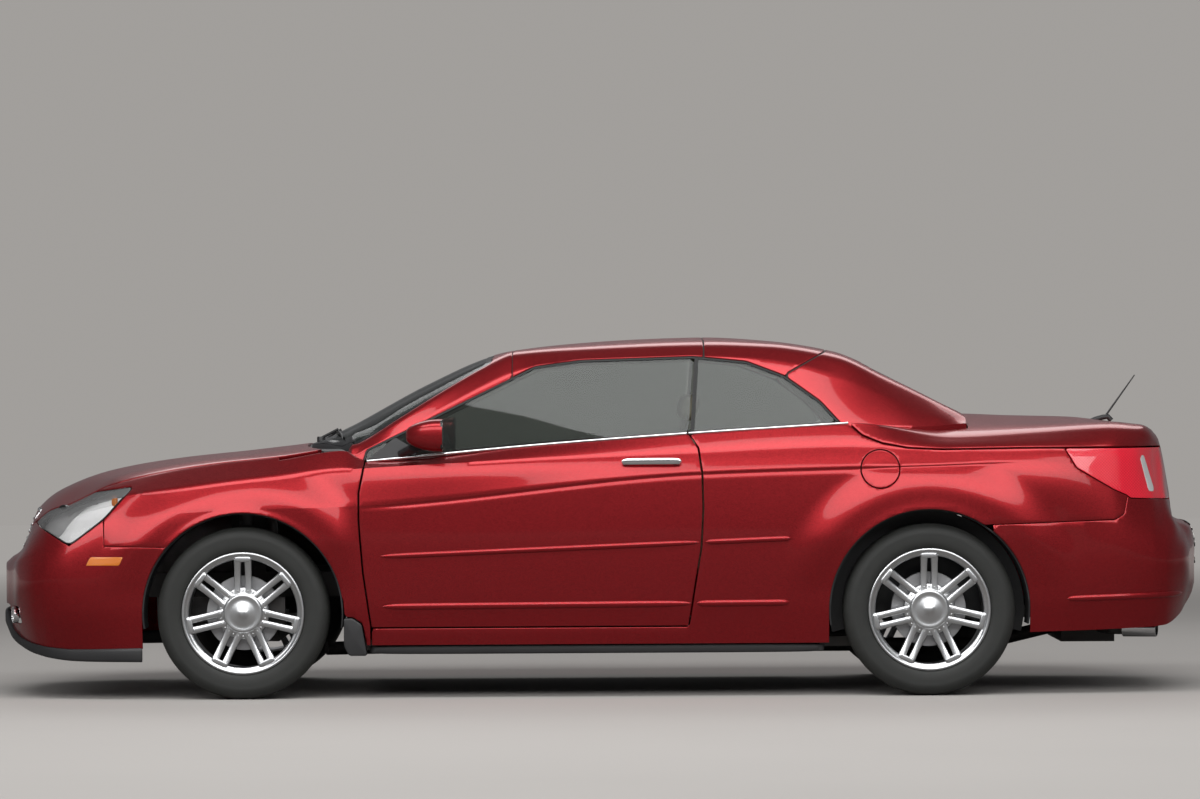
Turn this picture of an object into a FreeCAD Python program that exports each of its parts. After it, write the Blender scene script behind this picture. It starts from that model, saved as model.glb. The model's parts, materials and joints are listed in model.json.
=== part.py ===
# A two-door, four-seat convertible car with its folding metal hardtop raised, in millimetres.
# Frame: +X rearwards, +Y to the car's right, +Z up. The origin is on the ground at mid-length and mid-width.
import FreeCAD, Part
import math
import os
from FreeCAD import Rotation, Vector

doc = FreeCAD.newDocument("ConvertibleCar")

# ---- driving sizes: alias, value, meaning
SIZES = [
    ("wheelbase", 2765, "front axle to rear axle"),
    ("front_overhang", 1029, "front axle to the foremost point of the bumper"),
    ("rear_overhang", 1144, "rear axle to the rearmost point of the bumper"),
    ("body_half_width", 908, "middle plane to the widest point of the doors"),
    ("track_half", 785, "middle plane to the middle of a tyre"),
    ("tyre_radius", 347, "tyre tread radius"),
    ("tyre_width", 215, "tyre section width"),
    ("rim_radius", 248, "outer lip of the wheel"),
    ("rim_lip", 27, "height of the wheel's lip"),
    ("rim_wall", 9, "wall of the wheel's barrel"),
    ("rim_inset", 12, "tyre side wall to the wheel's lip"),
    ("spoke_bar", 29, "width of one bar of a spoke pair"),
    ("spoke_slot", 15, "slot between the two bars of a pair"),
    ("spoke_depth", 34, "depth of a spoke along the axle"),
    ("spoke_pairs", 7, "spoke pairs in a wheel"),
    ("hub_cap_radius", 79, "smooth cap in the middle of the wheel"),
    ("disc_radius", 150, "brake disc"),
    ("disc_thickness", 24, "brake disc"),
    ("arch_radius", 405, "wheel opening in the body sides"),
    ("liner_wall", 6, "wheel arch liner"),
    ("skin", 8, "outer panels"),
    ("lid_wall", 24, "hood and trunk lid"),
    ("roof_wall", 28, "roof panels, pillars and header"),
    ("door_wall", 140, "doors and body sides beside the cabin, outside to inside"),
    ("door_relief", 28, "set-back of the door's inner rear edge, which lets it swing"),
    ("door_skin", 20, "door edge outside that set-back"),
    ("glass", 5, "side glass, windshield and rear window"),
    ("glass_depth", 4, "glass face below the body surface"),
    ("shut_gap", 6, "gap round doors and lids"),
    ("door_swing_gap", 6.7, "gap in front of the door, whose edge swings in behind the fender"),
    ("hood_gap", 7, "gap round the front edge of the hood, which moves forward a little as it rises"),
    ("fender_hem", 1.4, "fender edge in front of the door, thin so that the door's edge swings in behind it"),
    ("seam", 0.3, "fixed panels to each other and parts to their seats"),
    ("door_hinge_inset", 40, "widest point of the body to the door hinge axis"),
    ("floor_bottom", 190, "underside of the floor above the ground"),
    ("floor_plate", 40, "floor thickness"),
    ("jack_pad", 60, "side of the square jacking pads under the floor"),
    ("jack_pad_drop", 10, "jacking pads below the floor's underside"),
    ("engine_length", 480, "engine along the car"),
    ("engine_width", 640, "engine and gearbox across the car"),
    ("engine_height", 520, "engine from sump to cover"),
    ("seat_width", 500, "front seat"),
    ("seat_middle", 370, "middle plane to the middle of a front seat"),
    ("wheel_rim_radius", 188, "steering wheel"),
    ("wheel_rim_thickness", 15, "radius of the steering wheel's rim"),
    ("exhaust_radius", 28, "exhaust pipe"),
    ("disc_inset", 90, "inner side wall of the tyre to the brake disc"),
    ("fuel_door_radius", 76, "round fuel door"),
    ("pin_radius", 8, "door hinge pins"),
    ("hinge_lug_radius", 13, "lugs that hold the door hinge pins"),
    ("pin_play", 0.5, "hinge pin in its bore"),
    ("door_hinge_setback", 90, "front edge of the door to its hinge axis"),
    ("hitch_bolt_radius", 6.5, "holes for a towing hitch in the rear rails"),
    ("hitch_bolt_spacing", 120, "hitch holes along the car"),
    ("hitch_bolt_middle", 510, "middle plane to the hitch holes"),
    ("ball_joint_radius", 17, "lower ball joint"),
    ("kingpin_low", 735, "steering axis at the lower ball joint, from the middle plane"),
    ("kingpin_high", 595, "steering axis at the strut's top mount, from the middle plane"),
    ("kingpin_low_height", 250, "lower ball joint above the ground"),
    ("kingpin_high_height", 850, "strut's top mount above the ground"),
]
sheet = doc.addObject("Spreadsheet::Sheet", "Sizes")
for row, (alias, amount, meaning) in enumerate(SIZES, 1):
    sheet.set(f"A{row}", meaning)
    sheet.set(f"B{row}", str(amount))
    sheet.setAlias(f"B{row}", alias)
doc.recompute()


def size(alias):
    return float(sheet.get(alias))


skin = size("skin")
gap = size("shut_gap")
seam = size("seam")
half_width = size("body_half_width")
hub_height = size("tyre_radius")
car_length = size("front_overhang") + size("wheelbase") + size("rear_overhang")
nose = -car_length / 2
front_axle = nose + size("front_overhang")
rear_axle = front_axle + size("wheelbase")
tail = car_length / 2

# The body lines below are drawn for these places and this half width, and stretch with the real ones.
DRAWN_ANCHORS = [(-2469, nose), (-1440, front_axle), (1325, rear_axle), (2469, tail)]
DRAWN_HALF_WIDTH = 908


def along(drawn):
    """Drawn place along the car to its real place."""
    for (low, real_low), (high, real_high) in zip(DRAWN_ANCHORS, DRAWN_ANCHORS[1:]):
        if drawn <= high or high == DRAWN_ANCHORS[-1][0]:
            return real_low + (drawn - low) * (real_high - real_low) / (high - low)


def across(drawn):
    return drawn * half_width / DRAWN_HALF_WIDTH


# ---- body lines, from the sill up to the middle of the top; each row is x, z, half width
BODY_LINES = [
    # sill: lower edge of the painted body
    [(-2469, 372, 300), (-2438, 268, 480), (-2402, 240, 560), (-2298, 215, 690), (-2128, 200, 790),
     (-1850, 206, 862), (-1030, 216, 868), (905, 216, 868), (1755, 254, 862), (2063, 262, 822),
     (2295, 273, 735), (2403, 318, 610), (2455, 380, 470), (2469, 430, 330)],
    # low: lower moulding
    [(-2469, 400, 370), (-2438, 340, 560), (-2402, 340, 650), (-2298, 345, 770), (-2128, 350, 850),
     (-1850, 358, 888), (-1030, 365, 893), (905, 372, 893), (1755, 385, 890), (2063, 395, 855),
     (2295, 400, 785), (2403, 408, 680), (2455, 425, 560), (2469, 450, 400)],
    # waist: widest part of the lower body
    [(-2469, 460, 390), (-2438, 460, 590), (-2402, 475, 680), (-2298, 500, 795), (-2128, 520, 862),
     (-1850, 550, 893), (-1440, 600, 905), (905, 620, 908), (1325, 640, 908), (1755, 620, 900),
     (2063, 610, 868), (2295, 600, 795), (2403, 590, 700), (2455, 570, 590), (2469, 540, 430)],
    # crease: shoulder line along doors and quarters
    [(-2469, 510, 380), (-2438, 540, 575), (-2402, 560, 660), (-2298, 600, 765), (-2128, 680, 835),
     (-1850, 740, 878), (-1440, 765, 902), (-1002, 776, 906), (410, 905, 902), (1325, 930, 898),
     (1742, 941, 888), (2063, 900, 838), (2295, 720, 735), (2355, 690, 700), (2403, 640, 650),
     (2455, 610, 540), (2469, 590, 400)],
    # upper: fender crease, then the break below the side windows
    [(-2469, 530, 350), (-2438, 560, 520), (-2402, 582, 600), (-2334, 650, 660), (-2215, 735, 740),
     (-2029, 800, 815), (-1774, 842, 862), (-973, 927, 884), (358, 985, 872), (1010, 1010, 866),
     (1242, 1000, 872), (1742, 992, 868), (2063, 985, 815), (2166, 970, 765), (2295, 900, 610),
     (2355, 735, 590), (2369, 700, 560), (2455, 655, 480), (2469, 603, 340)],
    # edge: hood edge, belt, then the trunk lid's shoulder
    [(-2469, 538, 280), (-2438, 570, 400), (-2402, 590, 450), (-2334, 700, 540), (-2215, 765, 640),
     (-2165, 783, 660), (-1947, 875, 725), (-1589, 945, 765), (-1279, 979, 785), (-1054, 1008, 795),
     (-935, 955, 832), (-232, 1018, 822), (358, 1060, 815), (1010, 1098, 800), (1433, 1040, 800),
     (2063, 1067, 735), (2204, 1056, 670), (2295, 1000, 560), (2355, 790, 490), (2369, 706, 450),
     (2455, 661, 380), (2469, 608, 280)],
    # crown: half way to the middle
    [(-2469, 542, 140), (-2402, 595, 225), (-2334, 752, 280), (-2215, 835, 330), (-2029, 900, 370),
     (-1761, 952, 395), (-1441, 988, 405), (-1184, 1016, 410), (-935, 1014, 410), (1010, 1112, 400),
     (1433, 1106, 400), (2063, 1098, 370), (2204, 1078, 330), (2295, 1050, 290), (2355, 818, 250),
     (2369, 711, 230), (2455, 665, 190), (2469, 617, 140)],
    # top: middle plane
    [(-2469, 543, 0), (-2402, 597, 0), (-2334, 767, 0), (-2242, 841, 0), (-2029, 920, 0), (-1761, 966, 0),
     (-1441, 999, 0), (-1280, 1017, 0), (-1184, 1027, 0), (-935, 1030, 0), (1010, 1125, 0),
     (1480, 1133, 0), (1694, 1125, 0), (1961, 1117, 0), (2135, 1095, 0), (2295, 1068, 0), (2308, 1034, 0),
     (2355, 834, 0), (2369, 713, 0), (2455, 666, 0), (2469, 619, 0)],
]
BODY_STATIONS = [-2469, -2438, -2402, -2334, -2298, -2215, -2128, -2029, -1850, -1761, -1589, -1440,
                 -1280, -1184, -1054, -935, -232, 358, 1010, 1242, 1433, 1742, 2063, 2166, 2204, 2295,
                 2308, 2355, 2369, 2403, 2455, 2469]

# ---- lines of the cabin above the belt; each row is x, z, half width
CABIN_LINES = [
    # foot: where glass and pillars meet the body
    [(-1184, 1000, 380), (-1118, 985, 560), (-1048, 965, 690), (-998, 950, 800), (-943, 940, 812),
     (-232, 1000, 806), (358, 1040, 799), (1010, 1080, 775), (1203, 1080, 742), (1351, 1085, 700),
     (1493, 1095, 640)],
    # rail: lower edge of the pillar, roof rail and glass top
    [(-1184, 1008, 376), (-1118, 1003, 552), (-1048, 990, 680), (-998, 975, 800), (-943, 1003, 797),
     (-800, 1072, 765), (-262, 1336, 645), (-78, 1361, 628), (384, 1374, 617), (602, 1365, 617),
     (802, 1338, 622), (971, 1290, 628), (1172, 1205, 645), (1351, 1125, 660), (1493, 1102, 610)],
    # brow: upper edge of the pillar and the break at the side of the roof
    [(-1184, 1013, 370), (-1118, 1012, 545), (-1048, 1006, 665), (-998, 1008, 775), (-943, 1035, 765),
     (-800, 1125, 728), (-438, 1345, 604), (-353, 1380, 588), (-81, 1402, 572), (432, 1417, 562),
     (691, 1407, 562), (971, 1360, 562), (1172, 1272, 562), (1480, 1127, 562), (1493, 1120, 560)],
    # crown: half way to the middle
    [(-1184, 1022, 200), (-1118, 1046, 300), (-1048, 1077, 370), (-723, 1250, 370), (-466, 1366, 320),
     (-359, 1397, 300), (-81, 1427, 300), (432, 1447, 300), (691, 1433, 300), (971, 1388, 300),
     (1172, 1300, 300), (1480, 1131, 300), (1493, 1124, 300)],
    # top: middle plane
    [(-1184, 1027, 0), (-1048, 1090, 0), (-723, 1265, 0), (-466, 1380, 0), (-359, 1406, 0), (-81, 1436, 0),
     (180, 1451, 0), (432, 1457, 0), (691, 1442, 0), (971, 1397, 0), (1172, 1308, 0), (1480, 1133, 0),
     (1493, 1126, 0)],
]
CABIN_STATIONS = [-1184, -1118, -1048, -998, -943, -800, -723, -466, -438, -359, -262, -81, 180, 384, 602,
                  691, 802, 971, 1172, 1351, 1480, 1493]

# ---- outlines seen from the side, each a closed run of x, z
DOOR_FRONT = [(-942, 962), (-968, 827), (-968, 714), (-952, 509), (-921, 288)]
DOOR_REAR = [(353, 288), (379, 450), (405, 603), (413, 757), (410, 900), (395, 1004), (358, 1060)]
LID_EDGE = [(1010, 1100), (1061, 1054), (1138, 1022), (1241, 1002), (1383, 995), (1690, 999), (2166, 999)]
TAIL_LAMP = [(1876, 993), (1922, 914), (2075, 825), (2130, 802), (2142, 790), (2420, 780), (2420, 993)]
HEADLAMP = [(-1881, 862), (-2102, 830), (-2215, 790), (-2320, 720), (-2215, 668), (-2143, 622), (-2000, 729)]
WINDOW = [(-960, 940), (-943, 1003), (-800, 1072), (-262, 1336), (-78, 1361), (384, 1374), (599, 1352),
          (753, 1293), (895, 1190), (985, 1090), (1010, 1080), (1010, 900), (-960, 900)]
DOOR_GLASS_REAR = 384
HOOD_PLAN = [(-2330, 0), (-2330, 470), (-2290, 545), (-2165, 655), (-1947, 722), (-1589, 762), (-1279, 781),
             (-1118, 785), (-1160, 650), (-1200, 400), (-1225, 0)]
COWL_PLAN = [(-1213, 0), (-1188, 400), (-1148, 650), (-1106, 795), (-975, 795), (-975, 0)]
LID_PLAN = [(1500, 0), (1500, 650), (1350, 712), (1200, 752), (1018, 787), (1018, 905), (2400, 905),
            (2400, 0)]
HINGE_HEIGHTS = (420, 790)
SIDE_REACH = 1200
HIGH = 1700


def line_point(line, x):
    """Height and half width of a body line at the drawn place x."""
    for (x0, z0, y0), (x1, z1, y1) in zip(line, line[1:]):
        if x <= x1:
            share = (x - x0) / (x1 - x0)
            return z0 + (z1 - z0) * share, y0 + (y1 - y0) * share
    return line[-1][1], line[-1][2]


def hull(lines, stations, inset=0.0, side_lines=5, open_top=False):
    """Closed body through cross-sections; inset moves its sides and top inwards and opens its underside."""
    wires = []
    length = stations[-1] - stations[0]
    for x in stations:
        end_share = max(0.0, min(1.0, (-2200 - x) / 200), min(1.0, (x - 2280) / 160))
        if length < 3000:
            end_share = 0.0
        toward_middle = inset if x < 0 else -inset
        points = []
        for index, line in enumerate(lines):
            z, y = line_point(line, x)
            inner_y = max(across(y) - inset * (1 - 0.3 * end_share), 0.0)
            if index == len(lines) - 1:
                inner_y = 0.0
            if index >= side_lines:
                z = z + HIGH if open_top else z - inset * (1 - 0.4 * end_share)
            if index == 0 and inset:
                points.append((inner_y, z - 150))
            points.append((inner_y, z))
        place = along(x) + toward_middle * end_share
        right = [Vector(place, y, z) for y, z in points]
        left = [Vector(place, -y, z) for y, z in reversed(points[:-1])]
        wires.append(Part.makePolygon(right + left + [right[0]]))
    return Part.makeLoft(wires, True, True)


def side_prism(outline, reach_from=-SIDE_REACH, reach_to=0.0):
    """Solid with an outline seen from the side, between two places across the car."""
    points = [Vector(along(x), reach_from, z) for x, z in outline]
    face = Part.Face(Part.makePolygon(points + [points[0]]))
    return face.extrude(Vector(0, reach_to - reach_from, 0))


def plan_prism(half_outline, low, high, grow=0.0):
    """Solid with a mirrored outline seen from above, grown all round, between two heights."""
    right = [Vector(along(x), across(y), low) for x, y in half_outline]
    left = [Vector(p.x, -p.y, p.z) for p in reversed(right) if p.y]
    points = right + left
    face = Part.Face(Part.makePolygon(points + [points[0]]))
    if grow:
        face = face.makeOffset2D(grow, 2)
    return face.extrude(Vector(0, 0, high - low))


def shifted(outline, dx=0.0, dz=0.0):
    return [(x + dx, z + dz) for x, z in outline]


def block(x0, x1, y0, y1, z0, z1):
    return Part.makeBox(x1 - x0, y1 - y0, z1 - z0, Vector(x0, y0, z0))


def both_sides(shape):
    return Part.makeCompound([shape, mirrored(shape)])


def mirrored(shape):
    return shape.mirror(Vector(0, 0, 0), Vector(0, 1, 0))


def rod(start, end, radius):
    axis = end - start
    return Part.makeCylinder(radius, axis.Length, start, axis)


nodes = {}


def node(name, shape):
    """A sub-part whose surface comes from the body lines."""
    thing = doc.addObject("Part::Feature", name)
    thing.Label = name
    thing.Shape = shape
    nodes[name] = thing
    return thing


# ---- body surfaces at their depths
outer = hull(BODY_LINES, BODY_STATIONS)
under_skin = hull(BODY_LINES, BODY_STATIONS, skin)
under_lid = hull(BODY_LINES, BODY_STATIONS, size("lid_wall"))
door_inside = hull(BODY_LINES, BODY_STATIONS[12:24], size("door_wall"), open_top=True)
door_step = hull(BODY_LINES, BODY_STATIONS[12:24], size("door_skin"), open_top=True)
lamp_inside = hull(BODY_LINES, BODY_STATIONS, 70)
skin_shell = outer.cut(under_skin)
lid_shell = outer.cut(under_lid)
wall_shell = outer.cut(door_inside)
cabin_outer = hull(CABIN_LINES, CABIN_STATIONS, side_lines=2)
cabin_inner = hull(CABIN_LINES, CABIN_STATIONS, size("roof_wall"), side_lines=2)
glass_outer = hull(CABIN_LINES, CABIN_STATIONS, size("glass_depth"), side_lines=2)
glass_inner = hull(CABIN_LINES, CABIN_STATIONS, size("glass_depth") + size("glass"), side_lines=2)
roof_shell = cabin_outer.cut(cabin_inner)
glass_shell = glass_outer.cut(glass_inner)


def arch(axle):
    cylinder = Part.makeCylinder(size("arch_radius"), 2 * SIDE_REACH, Vector(axle, -SIDE_REACH, hub_height),
                                 Vector(0, 1, 0))
    radius = size("arch_radius")
    below = block(axle - radius, axle + radius, -SIDE_REACH, SIDE_REACH, 0, hub_height)
    return cylinder.fuse(below)


front_arch = arch(front_axle)
rear_arch = arch(rear_axle)
hood_opening = plan_prism(HOOD_PLAN, 560, HIGH, size("hood_gap"))
hood_opening = hood_opening.fuse(plan_prism(COWL_PLAN, 560, HIGH, seam))
hood_opening = hood_opening.fuse(plan_prism([(-1300, 0), (-1300, 760), (-1100, 795), (-1100, 0)], 560, HIGH))

# ---- front end
door_outline = DOOR_FRONT + DOOR_REAR
door_swing_gap = size("door_swing_gap")
fender_outline = [(-1600, 400), (-1600, 610), (-1998, 621), (-2000, 727), (-1879, 864), (-1860, 1100),
                  (-975, 1100), (-942 - door_swing_gap, 1010), (-942 - door_swing_gap, 955)]
fender_outline += shifted(DOOR_FRONT, -door_swing_gap) + [(-921 - door_swing_gap, 150), (-1500, 150)]
MUD_GUARD = [(-1033, 325), (-998, 325), (-962, 300), (-938, 172), (-1012, 172), (-1033, 215)]
mud_hole = side_prism([(-1040, 400), (-1040, 150), (-921, 150), (-938, 172), (-961, 302), (-997, 327),
                       (-1033, 327)])
fender = skin_shell.common(side_prism(fender_outline)).cut(hood_opening).cut(front_arch).cut(cabin_outer)
fender = fender.cut(mud_hole)
hem_band = DOOR_FRONT + shifted(reversed(DOOR_FRONT), -gap - 16)
fender = fender.cut(hull(BODY_LINES, BODY_STATIONS, size("fender_hem")).common(side_prism(hem_band)))
fender = fender.removeSplitter()
node("front_fender_left", fender)
node("front_fender_right", mirrored(fender))

lamp_shell = outer.cut(lamp_inside)
headlamp = lamp_shell.common(side_prism(HEADLAMP, -SIDE_REACH, -across(470))).cut(hood_opening)
node("headlamps", both_sides(headlamp))

fascia_outline = [(-2600, 100), (-1700, 100), (-1700, 612 - seam), (-1998, 621 - seam), (-2000 - seam, 727)]
fascia_outline += [(-2143, 622 - seam), (-2215, 668 - seam), (-2320, 718), (-2330, 730), (-2336, 900)]
fascia_outline += [(-2600, 900)]
fascia = skin_shell.common(side_prism(fascia_outline, -SIDE_REACH, SIDE_REACH))
fascia = fascia.cut(hood_opening).cut(front_arch)
GRILLE_HALF = 430
grille_zone = block(nose - 50, along(-2300), -across(GRILLE_HALF), across(GRILLE_HALF), 606, 772)
intake_zone = block(nose - 50, along(-2380), -across(420), across(420), 290, 372)
fascia = fascia.cut(grille_zone).cut(intake_zone)
node("front_bumper", fascia)

grille_back = along(HOOD_PLAN[0][0]) - size("hood_gap")
grille_half = across(GRILLE_HALF) - seam
grille = []
for low in (612, 640, 668, 696, 724):
    grille.append(block(nose - 50, grille_back, -grille_half, grille_half, low, low + 12))
for middle in (-400, -200, 0, 200, 400):
    grille.append(block(nose - 50, grille_back, middle - 8, middle + 8, 607, 744))
grille.append(block(nose - 50, grille_back, -grille_half, grille_half, 735, 765))
grille_bars = grille[0].multiFuse(grille[1:]).common(outer.cut(lamp_inside))
intake_half = across(420) - seam
intake_back = along(-2380)
intake_bars = [block(nose - 50, intake_back, -intake_half, intake_half, z, z + 10) for z in (300, 330, 357)]
intake_bars += [block(nose - 50, intake_back, y - 7, y + 7, 290, 371.7) for y in (-410, -150, 150, 410)]
lower_bars = intake_bars[0].multiFuse(intake_bars[1:]).common(lamp_shell)
node("grille", Part.makeCompound([grille_bars, lower_bars]))

hood = lid_shell.common(plan_prism(HOOD_PLAN, 600, HIGH))
hood_lip = under_skin.common(block(nose, along(-2150), -SIDE_REACH, SIDE_REACH, 560, HIGH))
node("hood", hood.cut(hood_lip))
COWL_DEPTH = 20
COWL_WALL = 12
cowl_top = hull(BODY_LINES, BODY_STATIONS, COWL_DEPTH)
cowl = cowl_top.cut(hull(BODY_LINES, BODY_STATIONS, COWL_DEPTH + COWL_WALL))
node("cowl", cowl.common(plan_prism(COWL_PLAN, 900, HIGH)).cut(cabin_outer))

# ---- doors
door_shape = wall_shell.common(side_prism(door_outline))
door_shape = door_shape.cut(side_prism([(-943, 955), (-232, 1018), (358, 1060), (358, 1400), (-943, 1400)]))
rear_band = shifted(DOOR_REAR, -size("door_relief"))
rear_band = rear_band + [(700, 1060), (700, 288)]
door_shape = door_shape.cut(side_prism(rear_band).common(door_step))
hinge_x = along(DOOR_FRONT[1][0]) + size("door_hinge_setback")
hinge_y = half_width - size("door_hinge_inset")
lug_radius = size("hinge_lug_radius")
for middle in HINGE_HEIGHTS:
    pocket = block(hinge_x - size("door_hinge_setback") - 30, hinge_x + 22, -hinge_y - lug_radius - gap,
                   -hinge_y + 160, middle - 30, middle + 30)
    foot = Vector(hinge_x, -hinge_y, middle - 32)
    pin = rod(foot, foot + Vector(0, 0, 64), size("pin_radius"))
    door_shape = door_shape.cut(pocket).fuse(pin)
handle = block(along(87), along(331), -half_width - 14, -half_width, 931, 955)
for post in (87, 303):
    handle = handle.fuse(block(along(post), along(post) + 28, -half_width - 2, -half_width + 40, 933, 953))
door_shape = door_shape.fuse(handle)
node("door_left", door_shape)
node("door_right", mirrored(door_shape))

# mirrors stand on the door's top edge beside the glass
mirror_base = side_prism([(-835, 964.8), (-745, 972.8), (-745, 1014), (-812, 1014)], -836, -811)
mirror_arm = block(along(-795), along(-742), -880, -812, 990, 1013)
mirror_head = block(along(-775), along(-630), -1018, -856, 992, 1128)
long_edges = [edge for edge in mirror_head.Edges if edge.Length > 100]
mirror_head = mirror_head.makeFillet(26, long_edges)
mirror = mirror_base.multiFuse([mirror_arm, mirror_head])
node("mirror_left", mirror)
node("mirror_right", mirrored(mirror))

# ---- quarter panels with their sills
sill_top = 288 - gap
quarter_outline = shifted(DOOR_REAR, gap) + [(1006, 1097.8)] + shifted(LID_EDGE[:-1], -gap / 2, -gap)
quarter_outline += [(1876 - seam, 993), (1922 - seam, 914), (2075 - seam, 825)]
quarter_outline += [(2130 - seam, 802), (2113 - seam, 727), (2075, 705 + seam), (1400, 683 + seam)]
quarter_outline += [(1400, 150), (-921, 150), (-921, sill_top), (353 + gap, sill_top)]
quarter_area = side_prism(quarter_outline)
thick = wall_shell.common(block(-SIDE_REACH, along(900), -SIDE_REACH, 0, 0, HIGH))
thin = skin_shell.common(block(along(900), along(2400), -SIDE_REACH, 0, 0, HIGH))
quarter = thick.fuse(thin).common(quarter_area).cut(rear_arch).cut(cabin_outer)
lid_hole = plan_prism(LID_PLAN, 1100, HIGH)
quarter = quarter.cut(lid_hole)
fuel_place = Vector(along(1129), 0, 914)
fuel_radius = size("fuel_door_radius")
fuel_hole = Part.makeCylinder(fuel_radius + gap, SIDE_REACH, fuel_place, Vector(0, -1, 0))
fuel_disc = Part.makeCylinder(fuel_radius, SIDE_REACH, fuel_place, Vector(0, -1, 0))
cup_at = fuel_place + Vector(0, -across(815), 0)
cup = Part.makeCylinder(fuel_radius + gap + 6, 120, cup_at, Vector(0, -1, 0))
cup = cup.cut(Part.makeCylinder(fuel_radius + gap, 120, cup_at + Vector(0, -6, 0), Vector(0, -1, 0)))
stop = Part.makeCylinder(10, 120, cup_at + Vector(40, -3, 0), Vector(0, -1, 0))
stop = stop.common(hull(BODY_LINES, BODY_STATIONS, skin + seam))
quarter_left = quarter.cut(fuel_hole).multiFuse([cup.common(under_skin), stop])
node("quarter_panel_left", quarter_left)
node("quarter_panel_right", mirrored(quarter))
node("fuel_door", skin_shell.common(fuel_disc))

# ---- tail
lid_side = [(x, z) for x, z in LID_EDGE] + [(2400, 999), (2400, HIGH), (1010, HIGH)]
lid = lid_shell.common(side_prism(lid_side, -SIDE_REACH, SIDE_REACH)).common(plan_prism(LID_PLAN, 990, HIGH))
lid_face = lid_shell.common(block(along(2280), along(2420), -across(500), across(500), 716, 1002))
lid = lid.fuse(lid_face).removeSplitter()
node("trunk_lid", lid)
tail_lamp = lamp_shell.common(side_prism(TAIL_LAMP, -SIDE_REACH, -across(506)))
node("tail_lamps", both_sides(tail_lamp))
bumper_outline = [(1400, 683), (2075, 705), (2113, 727), (2130, 802), (2142, 790 - seam), (2420, 780 - seam)]
bumper_outline += [(2600, 780), (2600, 100), (1400, 100)]
rear_bumper = skin_shell.common(side_prism(bumper_outline, -SIDE_REACH, SIDE_REACH)).cut(rear_arch)
lid_face_half = across(500) + gap
rear_bumper = rear_bumper.cut(block(along(2200), along(2440), -lid_face_half, lid_face_half, 716 - gap, 1200))
node("rear_bumper", rear_bumper)

# ---- roof, pillars and glass
window_hole = side_prism(WINDOW, -SIDE_REACH, SIDE_REACH)
roof_shell = roof_shell.cut(window_hole)
HEADER = -355
screen_plan = [(-1190, 0), (-1184, 355), (-1118, 530), (-1048, 650), (-998, 758), (-943, 748), (-800, 712),
               (-438, 585), (-438, 0)]
frame_area = block(-1200, along(HEADER) - seam, -SIDE_REACH, SIDE_REACH, 0, HIGH)
screen_hole = plan_prism(screen_plan, 900, HIGH)
frame = roof_shell.common(frame_area).cut(screen_hole)
pillar_foot = [(-1300, 900), (-1300, 957), (-950, 957), (-950, 962), (400, 1075), (400, 900)]
frame = frame.cut(side_prism(pillar_foot, -SIDE_REACH, SIDE_REACH))
node("windshield_frame", frame)
screen = glass_shell.common(plan_prism(screen_plan, 900, HIGH, -seam)).cut(
    block(along(-438) - seam, 0, -SIDE_REACH, SIDE_REACH, 900, HIGH))
screen_foot = [(-1300, 900), (-1300, 1000), (-1000, 1000), (-900, 900)]
screen = screen.cut(side_prism(screen_foot, -SIDE_REACH, SIDE_REACH))
node("windshield", screen)

FRONT_SPLIT = 427
roof_front = roof_shell.common(block(along(HEADER), along(FRONT_SPLIT), -SIDE_REACH, SIDE_REACH, 1200, HIGH))
node("roof_front_panel", roof_front)
REAR_SPLIT = [(765, 1200), (765, 1303), (973, 1420), (973, HIGH)]
middle_area = [(FRONT_SPLIT + seam, 1200)] + REAR_SPLIT + [(FRONT_SPLIT + seam, HIGH)]
node("roof_middle_panel", roof_shell.common(side_prism(middle_area, -SIDE_REACH, SIDE_REACH)))
rear_area = shifted(REAR_SPLIT[1:], seam) + [(1600, HIGH), (1600, 1086), (765 + seam, 1086)]
backlight_plan = [(1090, 0), (1090, 430), (1120, 480), (1440, 510), (1465, 470), (1465, 0)]
roof_rear = roof_shell.common(side_prism(rear_area, -SIDE_REACH, SIDE_REACH))
node("roof_rear_panel", roof_rear.cut(plan_prism(backlight_plan, 900, HIGH)))
node("rear_window", glass_shell.common(plan_prism(backlight_plan, 1086, HIGH, -seam)).common(
    block(along(1090) + seam, along(1465) - seam, -SIDE_REACH, SIDE_REACH, 1086, HIGH)))

pane = glass_shell.common(side_prism(WINDOW))
front_pane_outline = [(-943 + gap, 956.2), (-943 + gap, 1003 - gap), (-800 + gap, 1072 - gap),
                      (-262, 1336 - gap), (-78, 1361 - gap), (DOOR_GLASS_REAR, 1374 - gap),
                      (DOOR_GLASS_REAR - 26, 1060.6), (-232, 1018.6)]
door_pane = glass_shell.common(side_prism(front_pane_outline))
node("door_glass_left", door_pane)
node("door_glass_right", mirrored(door_pane))
rear_pane_outline = [(DOOR_GLASS_REAR + gap, 1372.6), (599, 1351.4), (753, 1292.4), (894.4, 1189.6),
                     (977, 1096.8), (358 + 2 * gap, 1061), (DOOR_GLASS_REAR - 26 + 2 * gap, 1064)]
quarter_pane = glass_shell.common(side_prism(rear_pane_outline))
node("quarter_windows", both_sides(quarter_pane))


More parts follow.
